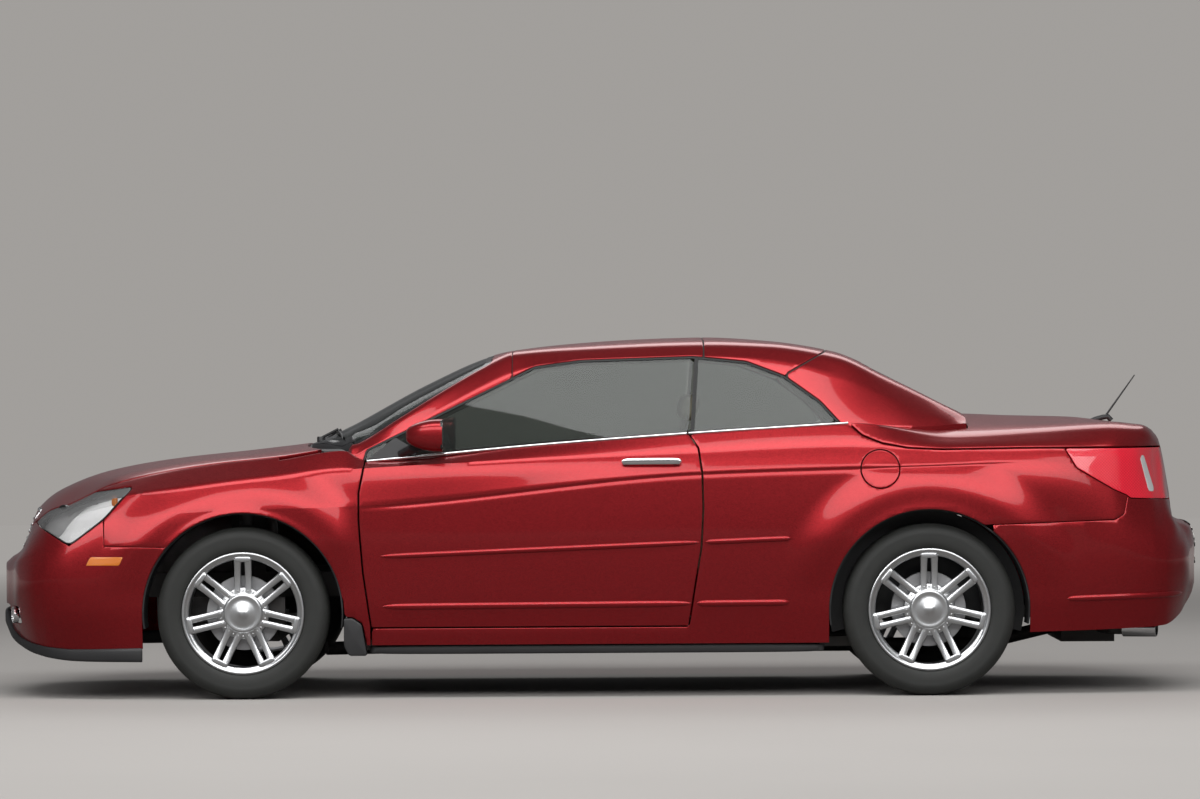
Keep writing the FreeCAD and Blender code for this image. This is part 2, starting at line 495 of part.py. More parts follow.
# ---- floor, firewall, posts, rails and bulkhead: the frame that carries the rest
floor_low = size("floor_bottom")
floor_top = floor_low + size("floor_plate")
wall_face = hull(BODY_LINES, BODY_STATIONS[12:24], size("door_wall") + seam, open_top=True)
cowl_under = hull(BODY_LINES, BODY_STATIONS, COWL_DEPTH + COWL_WALL + seam)
BULKHEAD = 1085
HITCH_AT = 1860
SHELF_PLAN = [(BULKHEAD, 0), (BULKHEAD, 738), (1203, 734), (1351, 692), (1493, 632), (1493, 0)]
frame_parts = [
    block(along(-1000), along(900), -800, 800, floor_low, floor_top).common(wall_face),
    block(along(890), along(BULKHEAD), -600, 600, floor_low, floor_top),
    block(along(-1000), along(480), -110, 110, floor_top - 10, floor_top + 60),
    block(along(-1000), along(-975), -790, 790, floor_low, 1100).common(cowl_under),
    block(along(BULKHEAD), along(BULKHEAD) + 15, -600, 600, floor_low, 1080),
    plan_prism(SHELF_PLAN, 1064, 1085.7),
    block(along(1470), along(1560), -390, 390, 1048, 1068),
    block(along(BULKHEAD), along(2290), -560, 560, 330, 348),
    block(along(2275), along(2290), -560, 560, 340, 640),
    block(along(-2290), along(-2265), -470, 470, 400, 640),
]
for side in (-1, 1):
    near, far = sorted((side * 380, side * 470))
    frame_parts.append(block(along(-2290), along(-980), near, far, 400, 500))
    near, far = sorted((side * 470, side * 550))
    rail = block(along(BULKHEAD), along(2280), near, far, 300, 335)
    for shift in (-0.5, 0.5):
        bolt_x = along(HITCH_AT) + shift * size("hitch_bolt_spacing")
        bolt = Vector(bolt_x, side * size("hitch_bolt_middle"), 290)
        rail = rail.cut(Part.makeCylinder(size("hitch_bolt_radius"), 60, bolt))
    frame_parts.append(rail)
    near, far = sorted((side * 690, side * 800))
    frame_parts.append(block(along(-1025), along(-980), near, far, floor_low, 880))
    near, far = sorted((side * 440, side * 690))
    frame_parts.append(block(front_axle - 70, front_axle + 70, near, far, 860, 880))
    near, far = sorted((side * 440, side * 468))
    frame_parts.append(block(front_axle - 70, front_axle + 70, near, far, 490, 865))
    for middle in HINGE_HEIGHTS:
        lug = Part.makeCylinder(lug_radius, 40, Vector(hinge_x, side * hinge_y, middle - 20))
        near, far = sorted((side * (hinge_y - 100), side * (hinge_y - 8)))
        lug = lug.fuse(block(hinge_x - 8, hinge_x + 8, near, far, middle - 20, middle + 20))
        near, far = sorted((side * (hinge_y - 108), side * (hinge_y - 88)))
        lug = lug.fuse(block(along(-990), hinge_x + 8, near, far, middle - 20, middle + 20))
        bore = size("pin_radius") + size("pin_play")
        lug = lug.cut(Part.makeCylinder(bore, 60, Vector(hinge_x, side * hinge_y, middle - 30)))
        frame_parts.append(lug)
jack_pad = size("jack_pad")
for x in (-840, 800):
    for y in (-700, 700):
        corner = Vector(along(x) - jack_pad / 2, y - jack_pad / 2, floor_low - size("jack_pad_drop"))
        frame_parts.append(Part.makeBox(jack_pad, jack_pad, size("jack_pad_drop") + 2, corner))
for x, low, wall in ((-2278, 630, skin), (1530, 1060, size("lid_wall"))):
    for y in (-350, 350):
        stop = Part.makeCylinder(11, 400, Vector(along(x), y, low))
        frame_parts.append(stop.common(hull(BODY_LINES, BODY_STATIONS, wall + 1.5 * seam)))

# steering axis of the front wheels: unit vector from the ball joint up to the strut's mount
def kingpin(side):
    low = Vector(front_axle, side * size("kingpin_low"), size("kingpin_low_height"))
    high = Vector(front_axle, side * size("kingpin_high"), size("kingpin_high_height"))
    axis = high - low
    axis.normalize()
    return low, high, axis


for side in (-1, 1):
    low, high, axis = kingpin(side)
    frame_parts.append(rod(high + axis * seam, high + axis * 26, 30))
frame_shape = frame_parts[0].multiFuse(frame_parts[1:])
node("floor_pan", frame_shape)

# ---- suspension: front and rear beams with their arms, struts and hub carriers
track_half = size("track_half")
tyre_half = size("tyre_width") / 2
disc_face = track_half - tyre_half + size("disc_inset")
beams = [
    block(front_axle - 120, front_axle + 120, -440, 440, 215, 260),
    block(rear_axle - 45, rear_axle + 45, -600, 600, 205, 258),
]
for side in (-1, 1):
    low, high, axis = kingpin(side)
    near, far = sorted((side * 400, side * (size("kingpin_low") - 12)))
    beams.append(block(front_axle - 28, front_axle + 28, near, far, 216, 238))
    beams.append(rod(low - axis * 34, low, size("ball_joint_radius")))
    near, far = sorted((side * 382, side * 438))
    beams.append(block(front_axle - 110, front_axle - 60, near, far, 255, 400 - seam))
    near, far = sorted((side * 480, side * 540))
    beams.append(block(rear_axle - 40, rear_axle + 40, near, far, 250, 300 - seam))
    near, far = sorted((side * 590, side * 650))
    beams.append(block(rear_axle - 35, rear_axle + 35, near, far, 205, 640))
    start = Vector(rear_axle, side * 640, hub_height)
    beams.append(rod(start, Vector(rear_axle, side * (disc_face - seam), hub_height), 52))
node("suspension_arms", beams[0].multiFuse(beams[1:]))


def knuckle(side):
    """Front hub carrier with its strut and brake caliper, which turns about the steering axis."""
    low, high, axis = kingpin(side)
    parts = [rod(low + axis * seam, low + axis * 50, size("ball_joint_radius"))]
    start = Vector(front_axle, side * 640, hub_height)
    parts.append(rod(start, Vector(front_axle, side * (disc_face - seam), hub_height), 56))
    near, far = sorted((side * 600, side * 652))
    parts.append(block(front_axle - 25, front_axle + 25, near, far, hub_height - 40, 715))
    reach = (high - low).Length
    parts.append(rod(low + axis * 455, low + axis * (reach - seam), 29))
    near, far = sorted((side * (disc_face - 22), side * (disc_face - 8)))
    parts.append(block(front_axle, front_axle + 150, near, far, hub_height - 45, hub_height + 45))
    near, far = sorted((side * (disc_face - 22), side * (disc_face + size("disc_thickness") + 20)))
    caliper = block(front_axle + 92, front_axle + 166, near, far, hub_height - 62, hub_height + 62)
    clear_from = side * (disc_face - 6)
    clear_length = size("disc_thickness") + 12
    slot_foot = Vector(front_axle, clear_from, hub_height)
    slot = Part.makeCylinder(size("disc_radius") + 6, clear_length, slot_foot, Vector(0, side, 0))
    parts.append(caliper.cut(slot))
    return parts[0].multiFuse(parts[1:])


for name, side in (("left", -1), ("right", 1)):
    node(f"knuckle_{name}", knuckle(side))


# ---- pieces drawn as PartDesign bodies and Part primitives bound to the sheet
def role_item(body, role):
    return next(item for item in body.Origin.OriginFeatures if item.Role == role)


def closed_sketch(body, name, role, outlines, lift=0.0):
    """Sketch of closed straight-edged outlines on an origin plane, lifted along the plane's normal."""
    sketch = body.newObject("Sketcher::SketchObject", name)
    sketch.AttachmentSupport = [(role_item(body, role), "")]
    sketch.MapMode = "FlatFace"
    sketch.AttachmentOffset = FreeCAD.Placement(Vector(0, 0, lift), Rotation())
    for outline in outlines:
        corners = [Vector(a, b, 0) for a, b in outline]
        for start, end in zip(corners, corners[1:] + corners[:1]):
            sketch.addGeometry(Part.LineSegment(start, end), False)
    return sketch


def revolve(body, name, outline):
    """Outline of radius, offset turned about the body's Y axis."""
    sketch = closed_sketch(body, f"{name}_outline", "XY_Plane", [outline])
    turned = body.newObject("PartDesign::Revolution", name)
    turned.Profile = sketch
    turned.ReferenceAxis = (sketch, ["V_Axis"])
    turned.Angle = 360
    return turned


rim_radius = size("rim_radius")
bead = rim_radius - size("rim_lip") + 8
lip_at = tyre_half - size("rim_inset")
spoke_face = lip_at - 14
barrel_inside = bead - size("rim_wall")


def tyre_body(name):
    body = doc.addObject("PartDesign::Body", name)
    half = [(bead + seam, tyre_half - 22), (rim_radius + 2 * seam, tyre_half - 16),
            (rim_radius + 6, tyre_half - 7), (rim_radius + 45, tyre_half),
            (hub_height - 30, tyre_half - 8), (hub_height - 8, tyre_half - 22), (hub_height, tyre_half - 44)]
    revolve(body, f"{name}_section", half + [(r, -w) for r, w in reversed(half)])
    return body


def rim_body(name):
    """Wheel seen from its outer side, which faces -Y: barrel, hub, brake disc and spoke pairs."""
    body = doc.addObject("PartDesign::Body", name)
    disc_at = -tyre_half + size("disc_inset")
    disc_end = disc_at + size("disc_thickness")
    barrel = [(bead, -tyre_half + 21), (bead, tyre_half - 21), (rim_radius, tyre_half - 15),
              (rim_radius, lip_at), (rim_radius - size("rim_lip"), lip_at - 4), (barrel_inside, lip_at - 30),
              (barrel_inside, -tyre_half + 21)]
    hub = [(0, disc_at), (size("disc_radius"), disc_at), (size("disc_radius"), disc_end), (70, disc_end),
           (74, spoke_face - 40), (size("hub_cap_radius"), spoke_face - 8),
           (size("hub_cap_radius") - 14, spoke_face + 4), (0, spoke_face + 10)]
    revolve(body, f"{name}_barrel", [(r, -w) for r, w in barrel])
    depth = size("spoke_depth")
    bar = size("spoke_bar")
    near = size("spoke_slot") / 2
    reach = rim_radius - size("rim_lip") + 2
    outlines = []
    for a, b in ((-near - bar, -near), (near, near + bar)):
        outlines.append([(a, 55), (b, 55), (b, reach), (a, reach)])
    sketch = closed_sketch(body, f"{name}_pair_outline", "XZ_Plane", outlines, spoke_face - depth)
    pair = body.newObject("PartDesign::Pad", f"{name}_pair")
    pair.Profile = sketch
    pair.setExpression("Length", "Sizes.spoke_depth")
    pair.AllowMultiFace = True
    doc.recompute()
    pattern = body.newObject("PartDesign::PolarPattern", f"{name}_spokes")
    pattern.Originals = [pair]
    pattern.Axis = (role_item(body, "Y_Axis"), [""])
    pattern.Angle = 360
    pattern.setExpression("Occurrences", "Sizes.spoke_pairs")
    body.Tip = pattern
    doc.recompute()
    revolve(body, f"{name}_hub", [(r, -w) for r, w in hub])
    return body


WHEELS = [("front_left", front_axle, -1), ("front_right", front_axle, 1),
          ("rear_left", rear_axle, -1), ("rear_right", rear_axle, 1)]
for name, axle, side in WHEELS:
    turn = Rotation(Vector(0, 0, 1), 0 if side < 0 else 180)
    place = FreeCAD.Placement(Vector(axle, side * track_half, hub_height), turn)
    for kind, make in (("tyre", tyre_body), ("rim", rim_body)):
        body = make(f"{kind}_{name}")
        body.Label = f"{kind}_{name}"
        body.Placement = place
        nodes[f"{kind}_{name}"] = body

engine = doc.addObject("Part::Box", "engine_block")
for prop, text in (("Length", "Sizes.engine_length"), ("Width", "Sizes.engine_width"),
                   ("Height", "Sizes.engine_height")):
    engine.setExpression(prop, text)
engine_corner = Vector(front_axle - 400, -size("engine_width") / 2, 260 + seam)
engine.Placement = FreeCAD.Placement(engine_corner, Rotation())
nodes["engine_block"] = engine

# steering wheel: rim, spokes and hub about the column's axis
COLUMN_RAKE = 25
wheel_place = Vector(along(-560), -size("seat_middle"), 880)
column_axis = Vector(math.cos(math.radians(COLUMN_RAKE)), 0, math.sin(math.radians(COLUMN_RAKE)))
column_turn = Rotation(Vector(0, 0, 1), column_axis)
ring = doc.addObject("Part::Torus", "steering_ring")
ring.setExpression("Radius1", "Sizes.wheel_rim_radius")
ring.setExpression("Radius2", "Sizes.wheel_rim_thickness")
boss = doc.addObject("Part::Cylinder", "steering_boss")
boss.Radius = 52
boss.Height = 46
boss.Placement.Base = Vector(0, 0, -28)
steering_parts = [ring, boss]
for index, angle in enumerate((90, 210, 330)):
    spoke = doc.addObject("Part::Box", f"steering_spoke_{index}")
    spoke.setExpression("Length", "Sizes.wheel_rim_radius")
    spoke.Width = 34
    spoke.Height = 16
    turn = Rotation(Vector(0, 0, 1), angle + 90)
    spoke.Placement = FreeCAD.Placement(turn.multVec(Vector(0, -17, -10)), turn)
    steering_parts.append(spoke)
steering = doc.addObject("Part::MultiFuse", "steering_wheel")
steering.Shapes = steering_parts
steering.Placement = FreeCAD.Placement(wheel_place, column_turn)
nodes["steering_wheel"] = steering

# ---- cabin: dashboard with column and console, seats
dash = side_prism([(-975 + seam, 640), (-975 + seam, 922), (-880, 938), (-745, 925), (-705, 890), (-700, 800),
                   (-770, 640)], -662, 662)
dash_parts = [dash, side_prism([(-780, 900), (-690, 915), (-690, 952), (-770, 950)], -490, -250)]
dash_parts.append(side_prism([(-850, 660), (-850, 290 + seam), (200, 290 + seam), (180, 520), (-280, 520),
                              (-300, 440), (-690, 460), (-740, 660)], -95, 95))
dash_parts.append(rod(wheel_place - column_axis * 190, wheel_place - column_axis * (28 + seam), 26))
node("dashboard", dash_parts[0].multiFuse(dash_parts[1:]))

seat_low = floor_top + seam
seat_outer = size("seat_middle") + size("seat_width") / 2
seat_inner = size("seat_middle") - size("seat_width") / 2
SEAT = [(-300, seat_low), (130, seat_low), (190, 420), (240, 470), (392, 1040), (380, 1085), (310, 1088),
        (290, 1060), (140, 590), (95, 560), (-320, 545), (-360, 500), (-330, 420)]
HEAD_REST = [(330, 1080), (372, 1080), (400, 1110), (408, 1195), (385, 1225), (340, 1222), (318, 1120)]
seat = side_prism(SEAT, -seat_outer, -seat_inner)
head_rest = side_prism(HEAD_REST, -size("seat_middle") - 125, -size("seat_middle") + 125)
seat = seat.fuse(head_rest)
node("front_seats", both_sides(seat))
REAR_SEAT = [(560, seat_low), (1060, seat_low), (1074, 480), (1082 - seam, 1000), (1040, 1015),
             (1000, 1000), (880, 560), (830, 530), (520, 520), (500, 470), (540, 300)]
node("rear_seat", side_prism(REAR_SEAT, -590, 590))

# ---- wheel arch liners, lower trim and exhaust
liner_outside = size("arch_radius") - seam
liner_inside = liner_outside - size("liner_wall")
near_skin = hull(BODY_LINES, BODY_STATIONS, 2)
liners = []
for axle in (front_axle, rear_axle):
    start = Vector(axle, -SIDE_REACH, hub_height)
    ring = Part.makeCylinder(liner_outside, SIDE_REACH - 685, start, Vector(0, 1, 0))
    ring = ring.cut(Part.makeCylinder(liner_inside, SIDE_REACH - 685, start, Vector(0, 1, 0)))
    ring = ring.common(block(axle - 500, axle + 500, -SIDE_REACH, 0, hub_height - 60, HIGH)).common(near_skin)
    liners += [ring, mirrored(ring)]
node("wheel_arch_liners", Part.makeCompound(liners))

dam_shell = hull(BODY_LINES, BODY_STATIONS, skin + seam).cut(hull(BODY_LINES, BODY_STATIONS, 34))
DAM = [(-2425, 288), (-2440, 255), (-2380, 236), (-2300, 200), (-2100, 160), (-1850, 154), (-1846, 230),
       (-2100, 230), (-2300, 260)]
dam = dam_shell.common(side_prism(DAM, -SIDE_REACH, SIDE_REACH))
trim = [dam]
guard = side_prism(MUD_GUARD, -896, -800 - seam)
strip = side_prism([(-934, 176), (905, 176), (905, 216 - seam), (-934, 216 - seam)], -850, -762)
for piece in (guard, strip):
    trim += [piece, mirrored(piece)]
node("lower_trim", Part.makeCompound(trim))

pipe_radius = size("exhaust_radius")
pipe_height = floor_low - seam - pipe_radius
points = [Vector(along(-1150), 60, pipe_height), Vector(along(-900), 150, pipe_height),
          Vector(along(1600), 150, pipe_height), Vector(along(1950), 150, 245)]
exhaust = [block(along(1900), along(2120), -330, 330, 190, 300 - seam)]
for start, end in zip(points, points[1:]):
    exhaust.append(rod(start, end, pipe_radius))
    exhaust.append(Part.makeSphere(pipe_radius, end))
for side in (-1, 1):
    elbow = Vector(along(2100), side * 470, 250)
    exhaust.append(rod(Vector(along(2060), side * 300, 250), elbow, 25))
    exhaust.append(Part.makeSphere(25, elbow))
    exhaust.append(rod(elbow, Vector(along(2265), side * 520, 250), 25))
node("exhaust", exhaust[0].multiFuse(exhaust[1:]))

# ---- antenna on the trunk lid
antenna_foot = side_prism([(2060, 1085), (2147, 1085), (2147, 1100), (2120, 1132), (2105, 1132)], -18, 18)
mast = rod(Vector(along(2120), 0, 1118), Vector(along(2243), 0, 1290), 5)
nodes["trunk_lid"].Shape = nodes["trunk_lid"].Shape.multiFuse([antenna_foot.cut(under_lid), mast])

# ---- checks, then one STEP file for each node
doc.recompute()
os.makedirs("parts", exist_ok=True)
for name, thing in nodes.items():
    if {"Invalid", "Error"} & set(thing.State):
        raise SystemExit(f"{name} failed: {thing.State}")
    if thing.Shape.isNull() or not thing.Shape.isValid():
        raise SystemExit(f"{name} has no valid shape")
for name, thing in nodes.items():
    box = thing.Shape.optimalBoundingBox(False)
    spans = f"x {box.XMin:.0f}..{box.XMax:.0f} y {box.YMin:.0f}..{box.YMax:.0f} z {box.ZMin:.0f}..{box.ZMax:.0f}"
    print(f"{name:22s} solids {len(thing.Shape.Solids)} litres {thing.Shape.Volume / 1e6:8.2f} {spans}")
    thing.Shape.exportStep(os.path.join("parts", f"{name}.step"))
print(len(nodes), "nodes; axles", front_axle, rear_axle, "hinge", hinge_x, hinge_y)
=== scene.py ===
# Looks of a two-door convertible car with its folding metal hardtop raised.
# Tables are in millimetres: x to the rear, y to the car's right, z up, like the frame, which is in metres.
import bpy
import json
import math
import numpy as np
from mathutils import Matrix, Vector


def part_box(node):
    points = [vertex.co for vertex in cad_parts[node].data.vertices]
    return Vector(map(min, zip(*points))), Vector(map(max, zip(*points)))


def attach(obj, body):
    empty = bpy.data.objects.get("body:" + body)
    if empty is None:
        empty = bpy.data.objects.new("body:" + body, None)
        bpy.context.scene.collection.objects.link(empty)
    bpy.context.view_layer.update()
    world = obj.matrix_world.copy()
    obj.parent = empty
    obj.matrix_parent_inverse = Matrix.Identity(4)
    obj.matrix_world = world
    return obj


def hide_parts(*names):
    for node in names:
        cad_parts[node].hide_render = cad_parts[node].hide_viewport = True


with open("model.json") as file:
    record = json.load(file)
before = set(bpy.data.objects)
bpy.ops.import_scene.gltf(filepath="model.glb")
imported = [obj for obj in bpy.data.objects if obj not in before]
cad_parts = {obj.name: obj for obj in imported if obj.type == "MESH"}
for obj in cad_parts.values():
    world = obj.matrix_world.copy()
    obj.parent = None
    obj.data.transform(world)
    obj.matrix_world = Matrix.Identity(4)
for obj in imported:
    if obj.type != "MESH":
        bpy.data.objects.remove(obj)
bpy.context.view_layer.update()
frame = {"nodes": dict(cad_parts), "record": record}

mm = 0.001
noseX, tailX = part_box("front_bumper")[0].x / mm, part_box("rear_bumper")[1].x / mm
wheelCentres = {}
for corner in ("front_left", "front_right", "rear_left", "rear_right"):
    low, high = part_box("tyre_" + corner)
    wheelCentres[corner] = np.array((low + high) / 2) / mm
frontAxle, hubHeight = wheelCentres["front_left"][0], wheelCentres["front_left"][2]
rearAxle = wheelCentres["rear_left"][0]
print("frame loaded")

# body lines from the sill up to the middle; rows are x, z, half width
bodyLines = [
    # sill, low, waist
    [(-2469, 372, 300), (-2438, 268, 480), (-2402, 240, 560), (-2298, 215, 690), (-2128, 200, 790),
     (-1850, 206, 862), (-1030, 216, 868), (905, 216, 868), (1755, 254, 862), (2063, 262, 822),
     (2295, 273, 735), (2403, 318, 610), (2455, 380, 470), (2469, 430, 330)],
    [(-2469, 400, 370), (-2438, 340, 560), (-2402, 340, 650), (-2298, 345, 770), (-2128, 350, 850),
     (-1850, 358, 888), (-1030, 365, 893), (905, 372, 893), (1755, 385, 890), (2063, 395, 855),
     (2295, 400, 785), (2403, 408, 680), (2455, 425, 560), (2469, 450, 400)],
    [(-2469, 460, 390), (-2438, 460, 590), (-2402, 475, 680), (-2298, 500, 795), (-2128, 520, 862),
     (-1850, 550, 893), (-1440, 600, 905), (905, 620, 908), (1325, 640, 908), (1755, 620, 900),
     (2063, 610, 868), (2295, 600, 795), (2403, 590, 700), (2455, 570, 590), (2469, 540, 430)],
    # crease: shoulder line along doors and quarters
    [(-2469, 510, 380), (-2438, 540, 575), (-2402, 560, 660), (-2298, 600, 765), (-2128, 680, 835),
     (-1850, 740, 878), (-1440, 765, 902), (-1002, 776, 906), (410, 905, 902), (1325, 930, 898),
     (1742, 941, 888), (2063, 900, 838), (2295, 720, 735), (2355, 690, 700), (2403, 640, 650),
     (2455, 610, 540), (2469, 590, 400)],
    # upper: fender crease, then the break below the side windows
    [(-2469, 530, 350), (-2438, 560, 520), (-2402, 582, 600), (-2334, 650, 660), (-2215, 735, 740),
     (-2029, 800, 815), (-1774, 842, 862), (-973, 927, 884), (358, 985, 872), (1010, 1010, 866),
     (1242, 1000, 872), (1742, 992, 868), (2063, 985, 815), (2166, 970, 765), (2295, 900, 610),
     (2355, 735, 590), (2369, 700, 560), (2455, 655, 480), (2469, 603, 340)],
    # edge: hood edge, belt, then the trunk lid's shoulder
    [(-2469, 538, 280), (-2438, 570, 400), (-2402, 590, 450), (-2334, 700, 540), (-2215, 765, 640),
     (-2165, 783, 660), (-1947, 875, 725), (-1589, 945, 765), (-1279, 979, 785), (-1054, 1008, 795),
     (-935, 955, 832), (-232, 1018, 822), (358, 1060, 815), (1010, 1098, 800), (1433, 1040, 800),
     (2063, 1067, 735), (2204, 1056, 670), (2295, 1000, 560), (2355, 790, 490), (2369, 706, 450),
     (2455, 661, 380), (2469, 608, 280)],
    # crown: half way to the middle, and top: middle plane
    [(-2469, 542, 140), (-2402, 595, 225), (-2334, 752, 280), (-2215, 835, 330), (-2029, 900, 370),
     (-1761, 952, 395), (-1441, 988, 405), (-1184, 1016, 410), (-935, 1014, 410), (1010, 1112, 400),
     (1433, 1106, 400), (2063, 1098, 370), (2204, 1078, 330), (2295, 1050, 290), (2355, 818, 250),
     (2369, 711, 230), (2455, 665, 190), (2469, 617, 140)],
    [(-2469, 543, 0), (-2402, 597, 0), (-2334, 767, 0), (-2242, 841, 0), (-2029, 920, 0), (-1761, 966, 0),
     (-1441, 999, 0), (-1280, 1017, 0), (-1184, 1027, 0), (-935, 1030, 0), (1010, 1125, 0),
     (1480, 1133, 0), (1694, 1125, 0), (1961, 1117, 0), (2135, 1095, 0), (2295, 1068, 0), (2308, 1034, 0),
     (2355, 834, 0), (2369, 713, 0), (2455, 666, 0), (2469, 619, 0)],
]
# how far each line is a crease (1) or a round shoulder (0), as x, amount
bodyCreases = [[(0, 0.4)], [(-1900, 0.2), (-1000, 0.7), (900, 0.7), (1700, 0.4)], [(0, 0.0)],
               [(-1700, 0.15), (-1000, 0.9), (1300, 0.9), (1760, 0.1)],
               [(-2300, 0.1), (-1780, 0.9), (-973, 0.8), (0, 0.3), (1200, 0.2), (2300, 0.2)],
               [(-2300, 0.1), (-1900, 0.3), (-935, 0.9), (1010, 0.9), (1433, 0.5), (2200, 0.3)],
               [(0, 0.0)], [(0, 0.0)]]
bodySpans = [4, 7, 18, 7, 7, 12, 12]    # rows of the grid from each line to the next
gatheredRows, gathering = 18, 1.7    # the span with so many rows has them closer together towards its top

# cabin lines: skirt, foot, rail, brow, crown and top
cabinFoot = [(-1184, 1000, 380), (-1118, 985, 560), (-1048, 965, 690), (-998, 950, 800), (-943, 940, 812),
             (-232, 1000, 806), (358, 1040, 799), (1010, 1080, 775), (1203, 1080, 742), (1351, 1085, 700),
             (1493, 1095, 640)]
cabinLines = [
    [(x, z - 46, y + 1) for x, z, y in cabinFoot], cabinFoot,
    [(-1184, 1008, 376), (-1118, 1003, 552), (-1048, 990, 680), (-998, 975, 800), (-943, 1003, 797),
     (-800, 1072, 765), (-262, 1336, 645), (-78, 1361, 628), (384, 1374, 617), (602, 1365, 617),
     (802, 1338, 622), (971, 1290, 628), (1172, 1205, 645), (1351, 1125, 660), (1493, 1102, 610)],
    [(-1184, 1013, 370), (-1118, 1012, 545), (-1048, 1006, 665), (-998, 1008, 775), (-943, 1035, 765),
     (-800, 1125, 728), (-438, 1345, 604), (-353, 1380, 588), (-81, 1402, 572), (432, 1417, 562),
     (691, 1407, 562), (971, 1360, 562), (1172, 1272, 562), (1480, 1127, 562), (1493, 1120, 560)],
    [(-1184, 1022, 200), (-1118, 1046, 300), (-1048, 1077, 370), (-723, 1250, 370), (-466, 1366, 320),
     (-359, 1397, 300), (-81, 1427, 300), (432, 1447, 300), (691, 1433, 300), (971, 1388, 300),
     (1172, 1300, 300), (1480, 1131, 300), (1493, 1124, 300)],
    [(-1184, 1027, 0), (-1048, 1090, 0), (-723, 1265, 0), (-466, 1380, 0), (-359, 1406, 0), (-81, 1436, 0),
     (180, 1451, 0), (432, 1457, 0), (691, 1442, 0), (971, 1397, 0), (1172, 1308, 0), (1480, 1133, 0),
     (1493, 1126, 0)],
]
cabinCreases = [[(0, 1.0)], [(0, 0.9)], [(-1000, 0.9), (900, 0.9), (1300, 0.2)],
                [(-1000, 0.2), (0, 0.4), (900, 0.3)], [(0, 0.0)], [(0, 0.0)]]
cabinSpans = [3, 12, 5, 12, 12]

# outlines seen from the side as x, z and from above as x, half width
doorFront = [(-942, 962), (-968, 827), (-968, 714), (-952, 509), (-921, 288)]
doorRear = [(353, 288), (379, 450), (405, 603), (413, 757), (410, 900), (395, 1004), (358, 1060)]
lidEdge = [(1010, 1100), (1061, 1054), (1138, 1022), (1241, 1002), (1383, 995), (1690, 999), (2166, 999)]
tailLampOutline = [(1876, 993), (1922, 914), (2075, 825), (2130, 802), (2142, 790), (2420, 780),
                   (2420, 993)]
headlampOutline = [(-1881, 862), (-2102, 830), (-2215, 790), (-2320, 720), (-2215, 668), (-2143, 622),
                   (-2000, 729)]
windowOutline = [(-960, 940), (-943, 1003), (-800, 1072), (-262, 1336), (-78, 1361), (384, 1374),
                 (599, 1352), (753, 1293), (895, 1190), (985, 1090), (1010, 1080), (1010, 900), (-960, 900)]
hoodPlan = [(-2330, -300), (-2330, 470), (-2290, 545), (-2165, 655), (-1947, 722), (-1589, 762),
            (-1279, 781), (-1118, 785), (-1160, 650), (-1200, 400), (-1225, -300)]
lidPlan = [(1500, -300), (1500, 650), (1350, 712), (1200, 752), (1018, 787), (1018, 905), (2400, 905),
           (2400, -300)]
screenPlan = [(-1190, -300), (-1184, 355), (-1118, 530), (-1048, 650), (-998, 758), (-943, 748),
              (-800, 712), (-438, 585), (-438, -300)]
rearScreenPlan = [(1090, -300), (1090, 430), (1120, 480), (1440, 510), (1465, 470), (1465, -300)]
beltLine = [(-2000, 870), (-943, 955), (-232, 1018), (358, 1060), (1010, 1098), (1100, 1103)]
shutGap, seamGap, archRadius = 6, 2.4, 405
headerX, frontSplit = -355, 427


# surfaces worked out on grids
def smoothAlong(table, x):
    # monotone cubic through the table: the slope at each point is the harmonic mean of the chords beside it
    table = np.array(table, float)
    knots, values = table[:, 0], table[:, 1:]
    if len(knots) == 1:
        return np.repeat(values, len(x), axis=0)
    chord = np.diff(values, axis=0) / np.diff(knots)[:, None]
    slope = np.vstack([chord[:1], np.zeros_like(chord[1:]), chord[-1:]])
    same = chord[:-1] * chord[1:] > 0
    slope[1:-1][same] = 2 * (chord[:-1] * chord[1:])[same] / (chord[:-1] + chord[1:])[same]
    x = np.clip(x, knots[0], knots[-1])
    span = np.clip(np.searchsorted(knots, x) - 1, 0, len(knots) - 2)
    width = np.diff(knots)[span][:, None]
    t = ((x - knots[span])[:, None]) / width
    return ((2 * t**3 - 3 * t**2 + 1) * values[span] + (t**3 - 2 * t**2 + t) * width * slope[span]
            + (3 * t**2 - 2 * t**3) * values[span + 1] + (t**3 - t**2) * width * slope[span + 1])


